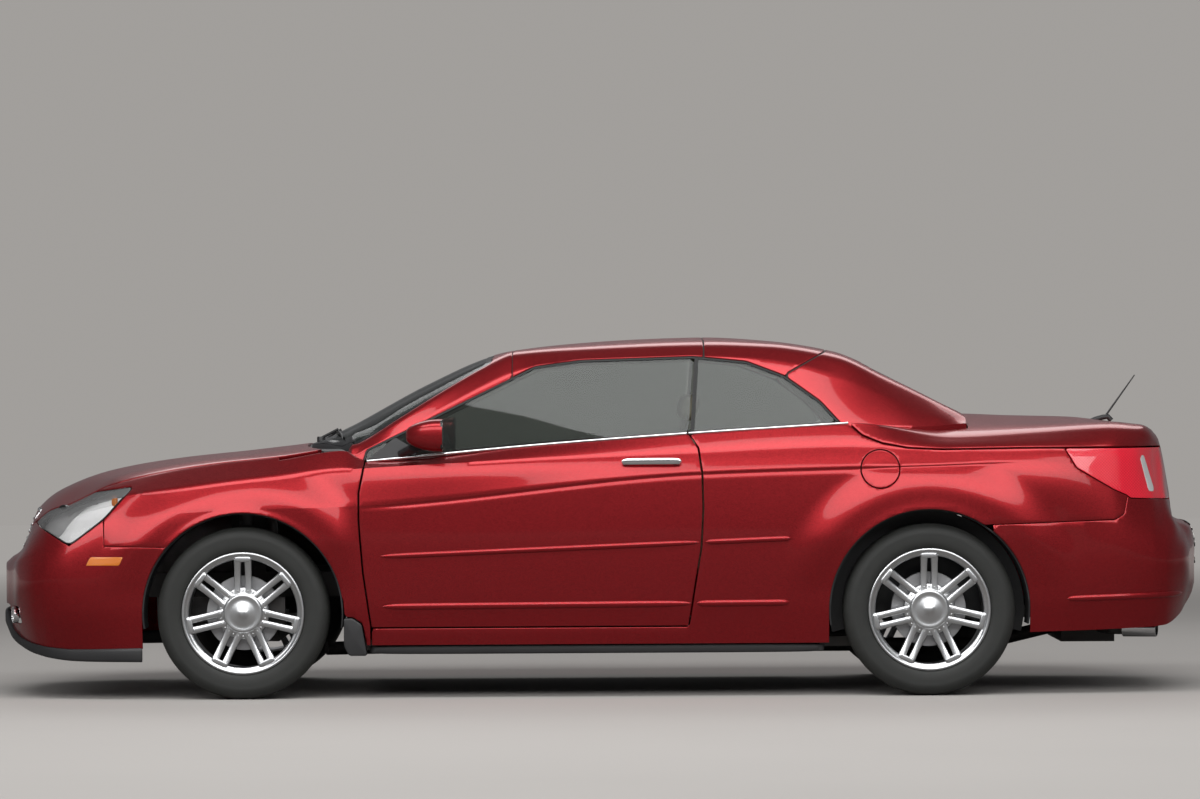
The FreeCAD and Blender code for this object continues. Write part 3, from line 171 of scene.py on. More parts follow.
def linedSurface(lines, creases, spans, x):
    # half surface: rows follow cubics from line to line; at a crease their tangents turn to the chord
    knots = np.array([smoothAlong(line, x) for line in lines])            # line, station, (z, half width)
    knots = knots[:, :, ::-1]                                             # half width, z
    share = np.array([np.clip(smoothAlong(crease, x)[:, 0], 0, 1) for crease in creases])[:, :, None]
    chords = np.diff(knots, axis=0)
    length = np.linalg.norm(chords, axis=2, keepdims=True) + 1e-6
    mirror = chords[-1] * (1, -1)
    weighted = chords[:-1] / length[:-1] * length[1:] + chords[1:] / length[1:] * length[:-1]
    smooth = np.concatenate([chords[:1] / length[:1], weighted / (length[:-1] + length[1:]),
                             ((chords[-1] + mirror) / 2 / length[-1])[None]])
    parts = []
    for k, count in enumerate(spans):
        t = np.linspace(0, 1, count + 1)[:count + (k == len(spans) - 1), None, None]
        t = 1 - (1 - t)**gathering if count == gatheredRows else t
        start = (smooth[k] * (1 - share[k]) + chords[k] / length[k] * share[k]) * length[k]
        end = (smooth[k + 1] * (1 - share[k + 1]) + chords[k] / length[k] * share[k + 1]) * length[k]
        parts.append((2 * t**3 - 3 * t**2 + 1) * knots[k] + (t**3 - 2 * t**2 + t) * start
                     + (3 * t**2 - 2 * t**3) * knots[k + 1] + (t**3 - t**2) * end)
    section = np.concatenate(parts)                                       # row, station, (half width, z)
    return np.stack([np.broadcast_to(x, section.shape[:2]), -section[..., 0], section[..., 1]], axis=-1)


bowLook = {"halfWidth": 450, "depth": 34, "starts": 2240, "over": 210, "most": 1.5}


def bowed(points):
    # nose and tail seen from above: the ends fall back with the square of the half width
    points = np.array(points, float)
    spread = np.minimum((points[..., 1] / bowLook["halfWidth"])**2, bowLook["most"]) * bowLook["depth"]
    front = np.clip((-bowLook["starts"] - points[..., 0]) / bowLook["over"], 0, 1)
    rear = np.clip((points[..., 0] - bowLook["starts"]) / bowLook["over"], 0, 1)
    points[..., 0] += spread * (front - rear)
    return points


def mirroredRows(grid):
    # left half rows, then the same rows to the right of the middle plane
    return np.concatenate([grid, grid[-2::-1] * (1, -1, 1)])


def gridNormals(grid):
    # cross product of the grid's two directions, pointing away from the car's inside
    across = np.gradient(grid, axis=0)
    along = np.gradient(grid, axis=1)
    normal = np.cross(along, across)
    normal /= np.linalg.norm(normal, axis=2, keepdims=True) + 1e-9
    return normal


def gridFaces(index):
    # two triangles for each square between four neighbours in a grid of point numbers
    a, b, c, d = (part.ravel() for part in (index[:-1, :-1], index[:-1, 1:], index[1:, 1:], index[1:, :-1]))
    return np.concatenate([np.stack([a, b, c], 1), np.stack([a, c, d], 1)])


def patchOf(grid):
    # points with their normals in six columns, and triangles that face outwards
    normal = gridNormals(grid)
    points = np.concatenate([grid, normal], axis=2).reshape(-1, 6)
    faces = gridFaces(np.arange(len(points)).reshape(grid.shape[:2]))
    a, b, c = (points[faces[:, k], :3] for k in range(3))
    outward = np.einsum("ij,ij->i", np.cross(b - a, c - a), points[faces[:, 0], 3:]) < 0
    faces[outward] = faces[outward][:, ::-1]
    return points, faces


reliefLook = {"blister": 24, "reach": 640, "fall": 165, "lip": 3, "lipWidth": 22,
              "groove": 3.2, "grooveBelow": 9, "grooveWidth": 7}


def sideRelief(x, z):
    # how far the side stands out: an s-shaped blister round each wheel that fades low down and at the
    # shoulder, a lip that falls off along a straight line, less a bell-shaped groove under the shoulder
    relief = np.zeros(x.shape)
    band = np.clip((z - 430) / 200, 0, 1) * np.clip((1010 - z) / 120, 0, 1)
    for axle, fade in ((frontAxle, np.clip((-965 - x) / 90, 0, 1)), (rearAxle, 1.0)):
        reach = np.hypot(x - axle, z - hubHeight)
        s = np.clip((reliefLook["reach"] - reach) / reliefLook["fall"], 0, 1)
        relief += fade * reliefLook["blister"] * s**2 * (3 - 2 * s) * band
        relief += reliefLook["lip"] * np.clip(1 - (reach - archRadius) / reliefLook["lipWidth"], 0, 1)
    shoulder = smoothAlong([row[:2] for row in bodyLines[3]], x.ravel())[:, 0].reshape(x.shape)
    fade = np.clip((x + 1010) / 250, 0, 1) * np.clip((1800 - x) / 400, 0, 1)
    bell = np.exp(-((z - shoulder + reliefLook["grooveBelow"]) / reliefLook["grooveWidth"])**2)
    return relief - reliefLook["groove"] * fade * bell


gridLook = {"bodyStations": 330, "cabinStations": 193, "endShare": 0.45, "endColumns": 6, "endDome": 2.0}


def bodyGrid():
    # stations gather towards both ends like a cosine; there the first and last sections shrink onto the
    # middle plane, on a parabola that makes the end a shallow dome
    t, share = np.linspace(0, 1, gridLook["bodyStations"]), gridLook["endShare"]
    middle, half = (noseX + tailX) / 2, (tailX - noseX) / 2
    x = middle + half * ((1 - share) * (2 * t - 1) - share * np.cos(math.pi * t))
    x[0], x[-1] = noseX, tailX
    grid = linedSurface(bodyLines, bodyCreases, bodySpans, x)
    grid[..., 1] -= sideRelief(grid[..., 0], grid[..., 2])
    ends, count = [], gridLook["endColumns"]
    for column, way in ((0, -1), (-1, 1)):
        s = np.linspace(0, 1, count + 1)[:-1]
        cap = grid[:, column][:, None, :] * np.stack([np.ones(count), s, np.ones(count)], 1)[None]
        cap[..., 0] += way * gridLook["endDome"] * (1 - s**2)
        ends.append(cap)
    return bowed(np.concatenate([ends[0], grid, ends[1][:, ::-1]], axis=1))


halfBody = bodyGrid()
fullBody = mirroredRows(halfBody)
cabinX = np.linspace(-1184, 1493, gridLook["cabinStations"])
halfCabin = linedSurface(cabinLines, cabinCreases, cabinSpans, cabinX)
fullCabin = mirroredRows(halfCabin)
bodyLeft, bodyWhole = patchOf(halfBody), patchOf(fullBody)
cabinLeft, cabinWhole = patchOf(halfCabin), patchOf(fullCabin)
print("body and cabin surfaces ready")


# outlines as distances in millimetres, negative inside; a field takes points and gives their distances
def rounded(outline, radius, steps=6):
    # each corner becomes a short parabola between points at the radius from it
    corners = np.array(outline, float)
    back = np.roll(corners, 1, axis=0) - corners
    ahead = np.roll(corners, -1, axis=0) - corners
    lengths = [np.linalg.norm(v, axis=1, keepdims=True) for v in (back, ahead)]
    start = corners + back / lengths[0] * np.minimum(radius, lengths[0] * 0.45)
    end = corners + ahead / lengths[1] * np.minimum(radius, lengths[1] * 0.45)
    t = np.linspace(0, 1, steps)[None, :, None]
    curve = (1 - t)**2 * start[:, None] + 2 * t * (1 - t) * corners[:, None] + t**2 * end[:, None]
    return curve.reshape(-1, 2)


def outlineDistance(outline, a, b):
    # distance to the nearest edge, with the sign of an even-odd crossing test
    nearest = np.full(a.shape, 1e9)
    inside = np.zeros(a.shape, bool)
    for (x0, z0), (x1, z1) in zip(outline, np.roll(outline, -1, axis=0)):
        dx, dz = x1 - x0, z1 - z0
        t = np.clip(((a - x0) * dx + (b - z0) * dz) / (dx * dx + dz * dz + 1e-12), 0, 1)
        nearest = np.minimum(nearest, np.hypot(a - x0 - t * dx, b - z0 - t * dz))
        if dz:
            crossing = (z0 > b) != (z1 > b)
            inside ^= crossing & (a < x0 + (b - z0) * dx / dz)
    return np.where(inside, -nearest, nearest)


def fromSide(outline, radius=0):
    # distance in the plane of x and z
    shape = rounded(outline, radius) if radius else np.array(outline, float)
    return lambda p: outlineDistance(shape, p[:, 0], p[:, 2])


def fromAbove(outline, radius=0):
    # distance in the plane of x and half width
    shape = rounded(outline, radius) if radius else np.array(outline, float)
    return lambda p: outlineDistance(shape, p[:, 0], np.abs(p[:, 1]))


def fromFront(outline, radius=0, mirrored=False):
    # distance in the plane of z and y, or of z and half width when mirrored
    shape = rounded(outline, radius) if radius else np.array(outline, float)
    return lambda p: outlineDistance(shape, p[:, 2], np.abs(p[:, 1]) if mirrored else p[:, 1])


def within(x0=-9e3, x1=9e3, y0=-9e3, y1=9e3, z0=-9e3, z1=9e3):
    # box of x, half width and z: the greatest of the distances to its sides
    return lambda p: np.maximum.reduce([x0 - p[:, 0], p[:, 0] - x1, y0 - np.abs(p[:, 1]),
                                        np.abs(p[:, 1]) - y1, z0 - p[:, 2], p[:, 2] - z1])


def disc(x, z, radius):
    # distance from an axis along Y less the radius
    return lambda p: np.hypot(p[:, 0] - x, p[:, 2] - z) - radius


def both(*fields):
    # where all fields are negative: the greatest of them
    return lambda p: np.maximum.reduce([field(p) for field in fields])


def either(*fields):
    # where any field is negative: the least of them
    return lambda p: np.minimum.reduce([field(p) for field in fields])


def outside(field, gap=0.0):
    # the field's other side, a gap away from it
    return lambda p: gap - field(p)


def shrunk(field, amount):
    # the field's edge moved inwards
    return lambda p: field(p) + amount


def archAt(axle, radius=archRadius):
    # wheel opening: a disc about the hub and the strip below it
    return either(disc(axle, hubHeight, radius), within(axle - radius, axle + radius, z1=hubHeight))


def moved(outline, dx=0.0, dz=0.0):
    # every point of an outline shifted by the same amount
    return [(x + dx, z + dz) for x, z in outline]


# cutting and thickening patches
def splitPatch(points, faces, field, keepBoth=False):
    # triangles that the field's zero line crosses are divided along it; the negative side is kept
    value = field(points)
    value = np.where(np.abs(value) < 1e-6, -1e-6, value)
    negative = value < 0
    count = negative[faces].sum(1)
    kept = [faces[count == 3]] + ([faces[count == 0]] if keepBoth else [])
    crossed = faces[(count == 1) | (count == 2)]
    if len(crossed):
        flags = negative[crossed]
        single = flags.sum(1) == 1
        odd = np.argmax(flags == single[:, None], axis=1)
        turned = np.take_along_axis(crossed, (odd[:, None] + np.arange(3)) % 3, axis=1)
        a, b, c = turned.T
        edges = np.sort(np.concatenate([np.stack([a, b], 1), np.stack([a, c], 1)]), axis=1)
        unique, where = np.unique(edges, axis=0, return_inverse=True)
        where = where.ravel() + len(points)
        t = (value[unique[:, 0]] / (value[unique[:, 0]] - value[unique[:, 1]]))[:, None]
        points = np.concatenate([points, points[unique[:, 0]] * (1 - t) + points[unique[:, 1]] * t])
        p, q = where[:len(a)], where[len(a):]
        tip = np.stack([a, p, q], 1)
        rest = np.concatenate([np.stack([p, b, c], 1), np.stack([p, c, q], 1)])
        double = np.concatenate([single, single])
        kept += [tip, rest] if keepBoth else [tip[single], rest[~double]]
    faces = np.concatenate(kept)
    used, faces = np.unique(faces, return_inverse=True)
    return points[used], faces.reshape(-1, 3)


def trimPatch(patch, field, roll=2.5):
    # part of a patch inside the field, its edge rolled in by a quarter round of the given radius
    points, faces = patch
    near = field(points) < 60    # only triangles near the area are worth cutting
    used = near[faces].any(1)
    index, faces = np.unique(faces[used], return_inverse=True)
    points, faces = points[index], faces.reshape(-1, 3)
    if roll:
        for share in (1.0, 0.45, 0.12):    # extra lines along the edge, closer together near it
            points, faces = splitPatch(points, faces, shrunk(field, roll * share), keepBoth=True)
    points, faces = splitPatch(points, faces, field)
    if roll:
        rise = np.clip(1 + field(points) / roll, 0, 1)
        points = points.copy()
        points[:, :3] -= points[:, 3:] * (roll * (1 - np.sqrt(1 - np.clip(rise, 0, 0.995)**2)))[:, None]
    return points, faces


def thickened(points, faces, depth, inward=None, lift=0.0):
    # closed shell: the patch, its copy moved inwards by the depth, and a wall round every open edge
    outer = points[:, :3] + points[:, 3:] * lift
    inner = outer - points[:, 3:] * depth if inward is None else inward(outer)
    edges = np.concatenate([faces[:, [0, 1]], faces[:, [1, 2]], faces[:, [2, 0]]])
    key = np.sort(edges, axis=1)
    _, first, times = np.unique(key, axis=0, return_index=True, return_counts=True)
    rim = edges[first[times == 1]]
    shift = len(outer)
    walls = np.concatenate([np.stack([rim[:, 1], rim[:, 0], rim[:, 0] + shift], 1),
                            np.stack([rim[:, 1], rim[:, 0] + shift, rim[:, 1] + shift], 1)])
    return np.concatenate([outer, inner]), np.concatenate([faces, faces[:, ::-1] + shift, walls])


def flipped(points, faces):
    # the same piece on the other side of the car
    return points * np.array([1, -1, 1]), faces[:, ::-1]


def joined(*pieces):
    # several meshes as one: each piece's faces count on from the points before it
    points, faces, start = [], [], 0
    for p, f in pieces:
        points.append(p)
        faces.append(f + start)
        start += len(p)
    return np.concatenate(points), np.concatenate(faces)


def lightened(piece, share):
    # a shell's inner half, the last half of its points, keeps fewer faces; the outer half keeps them all
    count = len(piece.data.vertices)
    group = piece.vertex_groups.new(name="inside")
    group.add(list(range(count // 2, count)), 1.0, "REPLACE")
    modifier = piece.modifiers.new("lighter", "DECIMATE")
    modifier.ratio, modifier.vertex_group = share, group.name
    made = bpy.data.meshes.new_from_object(piece.evaluated_get(bpy.context.evaluated_depsgraph_get()))
    piece.modifiers.clear()
    piece.vertex_groups.clear()
    return made


def addPiece(name, mesh, material, body="body", node=(), slot=None, sharp=32, keep=1.0):
    # mesh object in metres, riding on a body of the frame; a node's name says which solid it stands for
    points, faces = mesh
    data = bpy.data.meshes.new(name)
    data.vertices.add(len(points))
    data.vertices.foreach_set("co", (np.asarray(points, np.float32) * mm).ravel())
    data.loops.add(faces.size)
    data.loops.foreach_set("vertex_index", faces.astype(np.int32).ravel())
    data.polygons.add(len(faces))
    data.polygons.foreach_set("loop_start", np.arange(0, faces.size, faces.shape[1], dtype=np.int32))
    data.update(calc_edges=True)
    data.validate()
    piece = bpy.data.objects.new(name, data)
    bpy.context.scene.collection.objects.link(piece)
    if keep < 1:
        data = lightened(piece, keep)
        piece.data = data
    data.shade_smooth()
    if sharp:
        data.set_sharp_from_angle(angle=math.radians(sharp))
    data.materials.append(material)
    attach(piece, body)
    if node:
        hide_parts(node)
    return piece


bothBody, doorSides = ("body", "body"), ("door_left", "door_right")


def pair(name, mesh, material, bodies=bothBody, nodes=((), ()), **options):
    # a left piece and its mirror image on the right
    for side, shape, body, node in zip(("Left", "Right"), (mesh, flipped(*mesh)), bodies, nodes):
        addPiece(name + side, shape, material, body, node, **options)


# materials: each is worked out from places on the part
class Value:
    # socket of a material's nodes; plus, minus and times between values each become one Math node

    def __init__(self, socket, tree):
        self.socket, self.tree = socket, tree

    def maths(self, operation, *others):    # one Math node fed by this value and the others
        node = self.tree.nodes.new("ShaderNodeMath")
        node.operation = operation
        for slot, value in zip(node.inputs, (self, *others)):
            if isinstance(value, Value):
                self.tree.links.new(value.socket, slot)
            else:
                slot.default_value = value
        return Value(node.outputs[0], self.tree)

    def __add__(self, other):
        return self.maths("ADD", other)

    def __sub__(self, other):
        return self.maths("SUBTRACT", other)

    def __mul__(self, other):
        return self.maths("MULTIPLY", other)

    def __rsub__(self, other):
        return (self * -1) + other

    __radd__, __rmul__ = __add__, __mul__

    def clipped(self):    # kept between 0 and 1
        return self.maths("MINIMUM", 1.0).maths("MAXIMUM", 0.0)

    def sine(self):    # the value taken as an angle in radians
        return self.maths("SINE")

    def size(self):    # without its sign
        return self.maths("ABSOLUTE")

    def above(self, edge):    # 1 where the value is greater, else 0
        return self.maths("GREATER_THAN", edge)

    def rises(self, low, high):    # 0 below the low value, 1 above the high one, straight between
        return ((self - low) * (1 / (high - low))).clipped()


def addNode(tree, kind, settings=(), **sockets):
    # one node of a tree: its settings first, then a value or a link for each named or numbered socket
    node = tree.nodes.new("ShaderNode" + kind)
    for key, value in dict(settings).items():
        setattr(node, key, value)
    for key, value in sockets.items():
        numbered = key[0] == "i" and key[1:].isdigit()
        joinSocket(tree, node.inputs[int(key[1:]) if numbered else key.replace("_", " ")], value)
    return node


def joinSocket(tree, socket, value):
    # a Value or a socket is linked; a number or a colour becomes the socket's own value
    if isinstance(value, Value):
        value = value.socket
    if isinstance(value, bpy.types.NodeSocket):
        tree.links.new(value, socket)
    elif isinstance(value, tuple) and socket.type == "RGBA" and len(value) == 3:
        socket.default_value = (*value, 1)
    else:
        socket.default_value = value


class Surface:
    # one material; its values are constants or are worked out by the methods below

    def __init__(self, name, **constants):
        self.material = bpy.data.materials.new(name)
        self.material.use_nodes = True
        self.tree = self.material.node_tree
        self.shader = next(node for node in self.tree.nodes if node.type == "BSDF_PRINCIPLED")
        self.place = self.tree.nodes.new("ShaderNodeTexCoord").outputs["Object"]
        for key, value in constants.items():
            self.set(key, value)

    def add(self, kind, settings=(), **sockets):    # one node in this material's tree
        return addNode(self.tree, kind, settings, **sockets)

    def set(self, key, value):    # one socket of the shader
        joinSocket(self.tree, self.shader.inputs[key.replace("_", " ")], value)
        return self

    def axes(self):    # the place's x, y and z in metres
        node = self.add("SeparateXYZ", i0=self.place)
        return [Value(output, self.tree) for output in node.outputs]

    def noise(self, scale, detail=3.0, stretch=(1.0, 1.0, 1.0)):    # smooth random values, stretched
        spread = self.add("Mapping", i0=self.place, Scale=stretch).outputs[0]
        return Value(self.add("TexNoise", Vector=spread, Scale=scale, Detail=detail).outputs[0], self.tree)

    def flecks(self, scale):    # one random value for each cell
        cell = self.add("TexVoronoi", Vector=self.place, Scale=scale)
        return Value(self.add("SeparateColor", i0=cell.outputs["Color"]).outputs[0], self.tree)

    def cells(self, scale, feature="F1"):    # distance to a cell's middle or to its edge
        cell = self.add("TexVoronoi", {"feature": feature}, Vector=self.place, Scale=scale)
        return Value(cell.outputs["Distance"], self.tree)

    def blend(self, share, first, second):    # first where the share is 0, second where it is 1
        return self.add("Mix", {"data_type": "RGBA"}, i0=share, i6=first, i7=second).outputs[2]

    def relief(self, height, strength, depth=0.001):    # a height, in metres of depth, tilts the normal
        bump = self.add("Bump", Height=height, Strength=strength, Distance=depth)
        return self.set("Normal", bump.outputs[0])


paintLook = {"body": (0.20, 0.0025, 0.006), "flake": (0.48, 0.03, 0.035), "flakes": 1400.0,
             "flakeShare": 0.55, "roughness": 0.25, "metallic": 0.78, "coat": 0.55, "orangePeel": 0.02}


def paintSurface():
    # base colour with flakes: fine cells lighten the red, and faint waves bend the lacquer
    s = Surface("metallic red paint", Metallic=paintLook["metallic"], Coat_Weight=paintLook["coat"],
                Coat_Roughness=0.05, Coat_IOR=1.4, IOR=1.4)
    fleck = s.flecks(paintLook["flakes"])
    s.set("Base_Color", s.blend(fleck * paintLook["flakeShare"], paintLook["body"], paintLook["flake"]))
    s.set("Roughness", fleck * 0.10 + paintLook["roughness"])
    return s.relief(s.noise(220.0, 2.0), paintLook["orangePeel"], 0.0004).material


def plasticSurface(name, colour, roughness, grain=900.0, strength=0.12):
    # moulded grain: small cells raise the surface and wear changes the roughness slowly
    s = Surface(name)
    slow = s.noise(7.0, 4.0)
    s.set("Base_Color", s.blend(slow * 0.5, colour, tuple(min(1.0, c * 1.45 + 0.004) for c in colour)))
    s.set("Roughness", slow * 0.16 + roughness)
    return s.relief(s.cells(grain), strength, 0.0006).material


def metalSurface(name, colour, roughness, brushed=(1.0, 1.0, 1.0), scale=120.0, strength=0.03, coat=0.0):
    # bright metal: stretched noise gives a brushed or cast skin
    s = Surface(name, Metallic=1.0, Coat_Weight=coat)
    grain = s.noise(scale, 4.0, brushed)
    s.set("Base_Color", s.blend(grain, colour, tuple(c * 0.86 for c in colour)))
    s.set("Roughness", grain * 0.10 + roughness)
    return s.relief(grain, strength, 0.0005).material


def glassSurface(name, colour, share, roughness=0.02, depth=0.05):
    # thin glass: a mix of a tinted see-through shader and a glossy one, the mix following the view's edge
    s = Surface(name, Coat_Weight=0.6, IOR=1.5, Roughness=roughness, Specular_IOR_Level=0.6)
    slow = s.noise(2.5, 2.0)
    first, second = (tuple(c * share for c in colour) for share in (depth, depth * 0.8))
    s.set("Base_Color", s.blend(slow, first, second))
    clear = s.add("BsdfTransparent", Color=tuple(0.35 + 0.65 * c for c in colour))
    edge = Value(s.add("LayerWeight", Blend=0.35).outputs["Fresnel"], s.tree)
    mix = s.add("MixShader", i0=(edge * 0.8 + share).clipped(), i1=clear.outputs[0], i2=s.shader.outputs[0])
    output = next(node for node in s.tree.nodes if node.type == "OUTPUT_MATERIAL")
    joinSocket(s.tree, output.inputs[0], mix.outputs[0])
    return s.material


def lampSurface(name, colour, ribs, share=0.0):
    # lens with fine upright ribs: a sine of the place along the car bends the surface
    s = Surface(name, Roughness=0.06, Coat_Weight=1.0, IOR=1.5, Transmission_Weight=share)
    x, y, z = s.axes()
    wave = (x * ribs).sine() * (z * ribs).sine()
    s.set("Base_Color", s.blend(wave * 0.5 + 0.5, colour, tuple(c * 0.62 for c in colour)))
    return s.relief(wave, 0.35, 0.0015).material


rubberLook = {"side": (0.013, 0.014, 0.013), "dust": (0.036, 0.037, 0.034), "rings": 1900.0,
              "roughness": 0.52}


def rubberSurface():
    # tyre side: rings are sines of the distance from the wheel's axle, dust greys the tread
    s = Surface("tyre rubber", IOR=1.45)
    x, y, z = s.axes()
    front = x.above(0.0)
    centre = front * ((rearAxle - frontAxle) * mm) + frontAxle * mm
    radius = ((x - centre) * (x - centre) + (z - hubHeight * mm) * (z - hubHeight * mm)).maths("SQRT")
    slow = s.noise(26.0, 5.0)
    tread = radius.rises(0.328, 0.345)
    s.set("Base_Color", s.blend((slow * 0.5 + tread * 0.4).clipped(), rubberLook["side"], rubberLook["dust"]))
    s.set("Roughness", slow * 0.2 + rubberLook["roughness"])
    rings = (radius * rubberLook["rings"]).sine() * (1 - tread)
    return s.relief(rings + s.noise(420.0), 0.22, 0.0007).material


def leatherSurface(name, colour, roughness=0.48):
    # leather: cell edges give the grain and slow noise the wear
    s = Surface(name, Sheen_Weight=0.15)
    slow = s.noise(6.0, 4.0)
    s.set("Base_Color", s.blend(slow, colour, tuple(c * 0.84 for c in colour)))
    s.set("Roughness", slow * 0.18 + roughness)
    return s.relief(s.cells(420.0, "DISTANCE_TO_EDGE"), 0.25, 0.0008).material


channelLook = {"leather": (0.62, 0.55, 0.44), "channel": 0.072, "troughDepth": 0.004}


def channelLeather():
    # leather whose sewn channels are the narrow troughs of a sine of the place across the car; the troughs
    # are painted darker, a painted shade
    s = Surface("channelled cream leather", Sheen_Weight=0.15)
    x, y, z = s.axes()
    trough = (y * (math.pi / channelLook["channel"])).sine().size().rises(0.0, 0.22)
    slow, leather = s.noise(6.0, 4.0), channelLook["leather"]
    worn = s.blend(slow, leather, tuple(c * 0.86 for c in leather))
    # painted shade: the leather colour drops to 0.55 in the troughs
    s.set("Base_Color", s.blend(trough, tuple(c * 0.55 for c in leather), worn))
    s.set("Roughness", slow * 0.2 + 0.45)
    grain = s.cells(420.0, "DISTANCE_TO_EDGE") * 0.08
    return s.relief(trough + grain, 0.5, channelLook["troughDepth"]).material


def clothSurface(name, colour):
    # carpet: tangled fine noise raises and shades the pile
    s = Surface(name, Roughness=0.95, Sheen_Weight=0.3)
    pile = s.noise(900.0, 2.0)
    s.set("Base_Color", s.blend(pile, colour, tuple(c * 0.5 for c in colour)))
    return s.relief(pile, 0.6, 0.002).material


def castSurface(name, colour, roughness, metallic, dirt):
    # chassis and engine metal: dirt gathers low down and in patches
    s = Surface(name, Metallic=metallic)
    x, y, z = s.axes()
    grime = (s.noise(9.0, 5.0) * 1.2 - z * 0.5).clipped()
    s.set("Base_Color", s.blend(grime, colour, dirt))
    s.set("Roughness", grime * 0.3 + roughness)
    return s.relief(s.noise(160.0, 3.0), 0.2, 0.001).material


# every finish; colours are linear red, green and blue, then comes the roughness
redPaint = paintSurface()
blackPlastic = plasticSurface("black moulded plastic", (0.014, 0.014, 0.015), 0.42)
glossBlack = plasticSurface("gloss black", (0.010, 0.010, 0.011), 0.14, grain=300.0, strength=0.02)
sealRubber = plasticSurface("seal rubber", (0.012, 0.012, 0.012), 0.62, grain=600.0, strength=0.2)
darkTrim = plasticSurface("dark cabin plastic", (0.028, 0.026, 0.025), 0.55, grain=520.0, strength=0.25)
plateWhite = plasticSurface("plain number plate", (0.62, 0.62, 0.60), 0.35, grain=60.0, strength=0.02)
lampSilver = plasticSurface("lamp housing silver", (0.90, 0.90, 0.90), 0.25, grain=200.0, strength=0.05)
chrome = metalSurface("bright trim", (0.82, 0.82, 0.83), 0.07, scale=40.0, strength=0.01)
reflector = metalSurface("lamp reflector", (0.86, 0.86, 0.88), 0.05, scale=30.0, strength=0.02)
wheelSilver = metalSurface("wheel alloy", (0.66, 0.67, 0.68), 0.24, scale=900.0, strength=0.04, coat=0.6)
discSteel = metalSurface("brake disc steel", (0.46, 0.46, 0.47), 0.30, (1.0, 60.0, 1.0), 60.0, 0.1)
exhaustSteel = metalSurface("exhaust steel", (0.50, 0.48, 0.45), 0.28, (1.0, 8.0, 8.0), 90.0, 0.15)
sideGlass = glassSurface("tinted side glass", (0.58, 0.63, 0.59), share=0.27, depth=0.08)
screenGlass = glassSurface("windscreen glass", (0.66, 0.72, 0.69), share=0.06)
lensClear = glassSurface("clear lamp lens", (0.98, 0.98, 0.98), share=0.02, depth=0.22)
lampRed = lampSurface("red lamp lens", (0.80, 0.012, 0.035), ribs=520.0)
lampAmber = lampSurface("amber lamp lens", (0.75, 0.20, 0.015), ribs=600.0)
lampPale = lampSurface("pale lamp lens", (0.62, 0.62, 0.62), ribs=700.0)
tyreRubber = rubberSurface()
channelled = channelLeather()
cream = leatherSurface("cream leather", (0.66, 0.58, 0.46))
creamTrim = leatherSurface("cream trim", (0.60, 0.53, 0.42), 0.55)
headliner = clothSurface("headliner cloth", (0.50, 0.45, 0.37))
carpet = clothSurface("carpet", (0.045, 0.042, 0.040))
underbody = castSurface("underbody coating", (0.030, 0.030, 0.031), 0.70, 0.0, dirt=(0.060, 0.055, 0.050))
chassisSteel = castSurface("chassis steel", (0.060, 0.060, 0.063), 0.50, 0.7, dirt=(0.050, 0.043, 0.037))
engineMetal = castSurface("engine alloy", (0.30, 0.30, 0.31), 0.45, 0.8, dirt=(0.080, 0.070, 0.060))

# the record's slot for each finish; its first finish is the one that a plain solid in that slot gets
finishes = {
    "paint": [redPaint], "black_plastic": [blackPlastic, glossBlack, sealRubber],
    "bright_trim": [chrome, lampSilver, plateWhite], "glass": [sideGlass, screenGlass],
    "lamp_clear": [reflector, lampPale, lensClear], "lamp_red": [lampRed, lampAmber], "tyre": [tyreRubber],
    "wheel_alloy": [wheelSilver], "seat_leather": [cream, creamTrim, channelled, headliner],
    "cabin_plastic": [darkTrim, carpet], "underbody": [underbody], "engine_metal": [engineMetal],
    "chassis_steel": [chassisSteel, discSteel], "exhaust_steel": [exhaustSteel]}
print("materials ready")

# painted panels, cut from the body surface like the real ones
panelLook = {"depth": 5.6, "lidDepth": 16, "roofDepth": 22, "roll": 2.6, "keep": 0.58, "sharp": 38}
hoodAbove, lidAbove = fromAbove(hoodPlan), fromAbove(lidPlan)
hoodArea = both(hoodAbove, within(z0=560))
doorArea = fromSide(doorFront + doorRear)
frontArch, rearArch = archAt(frontAxle), archAt(rearAxle)
headlampSeat = both(fromSide(headlampOutline, 30), within(y0=470), outside(hoodAbove, shutGap))
tailLampSeat = both(fromSide(tailLampOutline, 10), within(y0=506))
cowlReach = within(-1290, -975, z0=900)
bonnetHole = either(hoodArea, both(cowlReach, outside(hoodAbove, shutGap + 1), within(y1=797)))
lidUpper = both(lidAbove, fromSide(lidEdge + [(2400, 999), (2400, 1700), (1010, 1700)]))
lidFace = within(2280, 2420, y1=500, z0=716, z1=1002)
fuelHole = disc(1129, 914, 76)

# front fender: from the lamp and the nose back to the door, over the wheel and down to the mud guard
fenderOutline = [(-1600, 400), (-1600, 610), (-1998, 621), (-2000, 727), (-1890, 850), (-2102, 820),
                 (-2215, 780), (-2322, 716), (-2330, 1100), (-975, 1100), (-948, 1010), (-948, 955)]
fenderOutline += moved(doorFront, -shutGap) + [(-927, 150), (-1500, 150)]
mudHole = fromSide([(-1036, 400), (-1036, 150), (-921, 150), (-935, 172), (-959, 302), (-996, 327),
                    (-1030, 330)])
fenderArea = both(fromSide(fenderOutline), outside(bonnetHole, shutGap), outside(frontArch),
                  outside(headlampSeat, seamGap), outside(mudHole, 1.5))

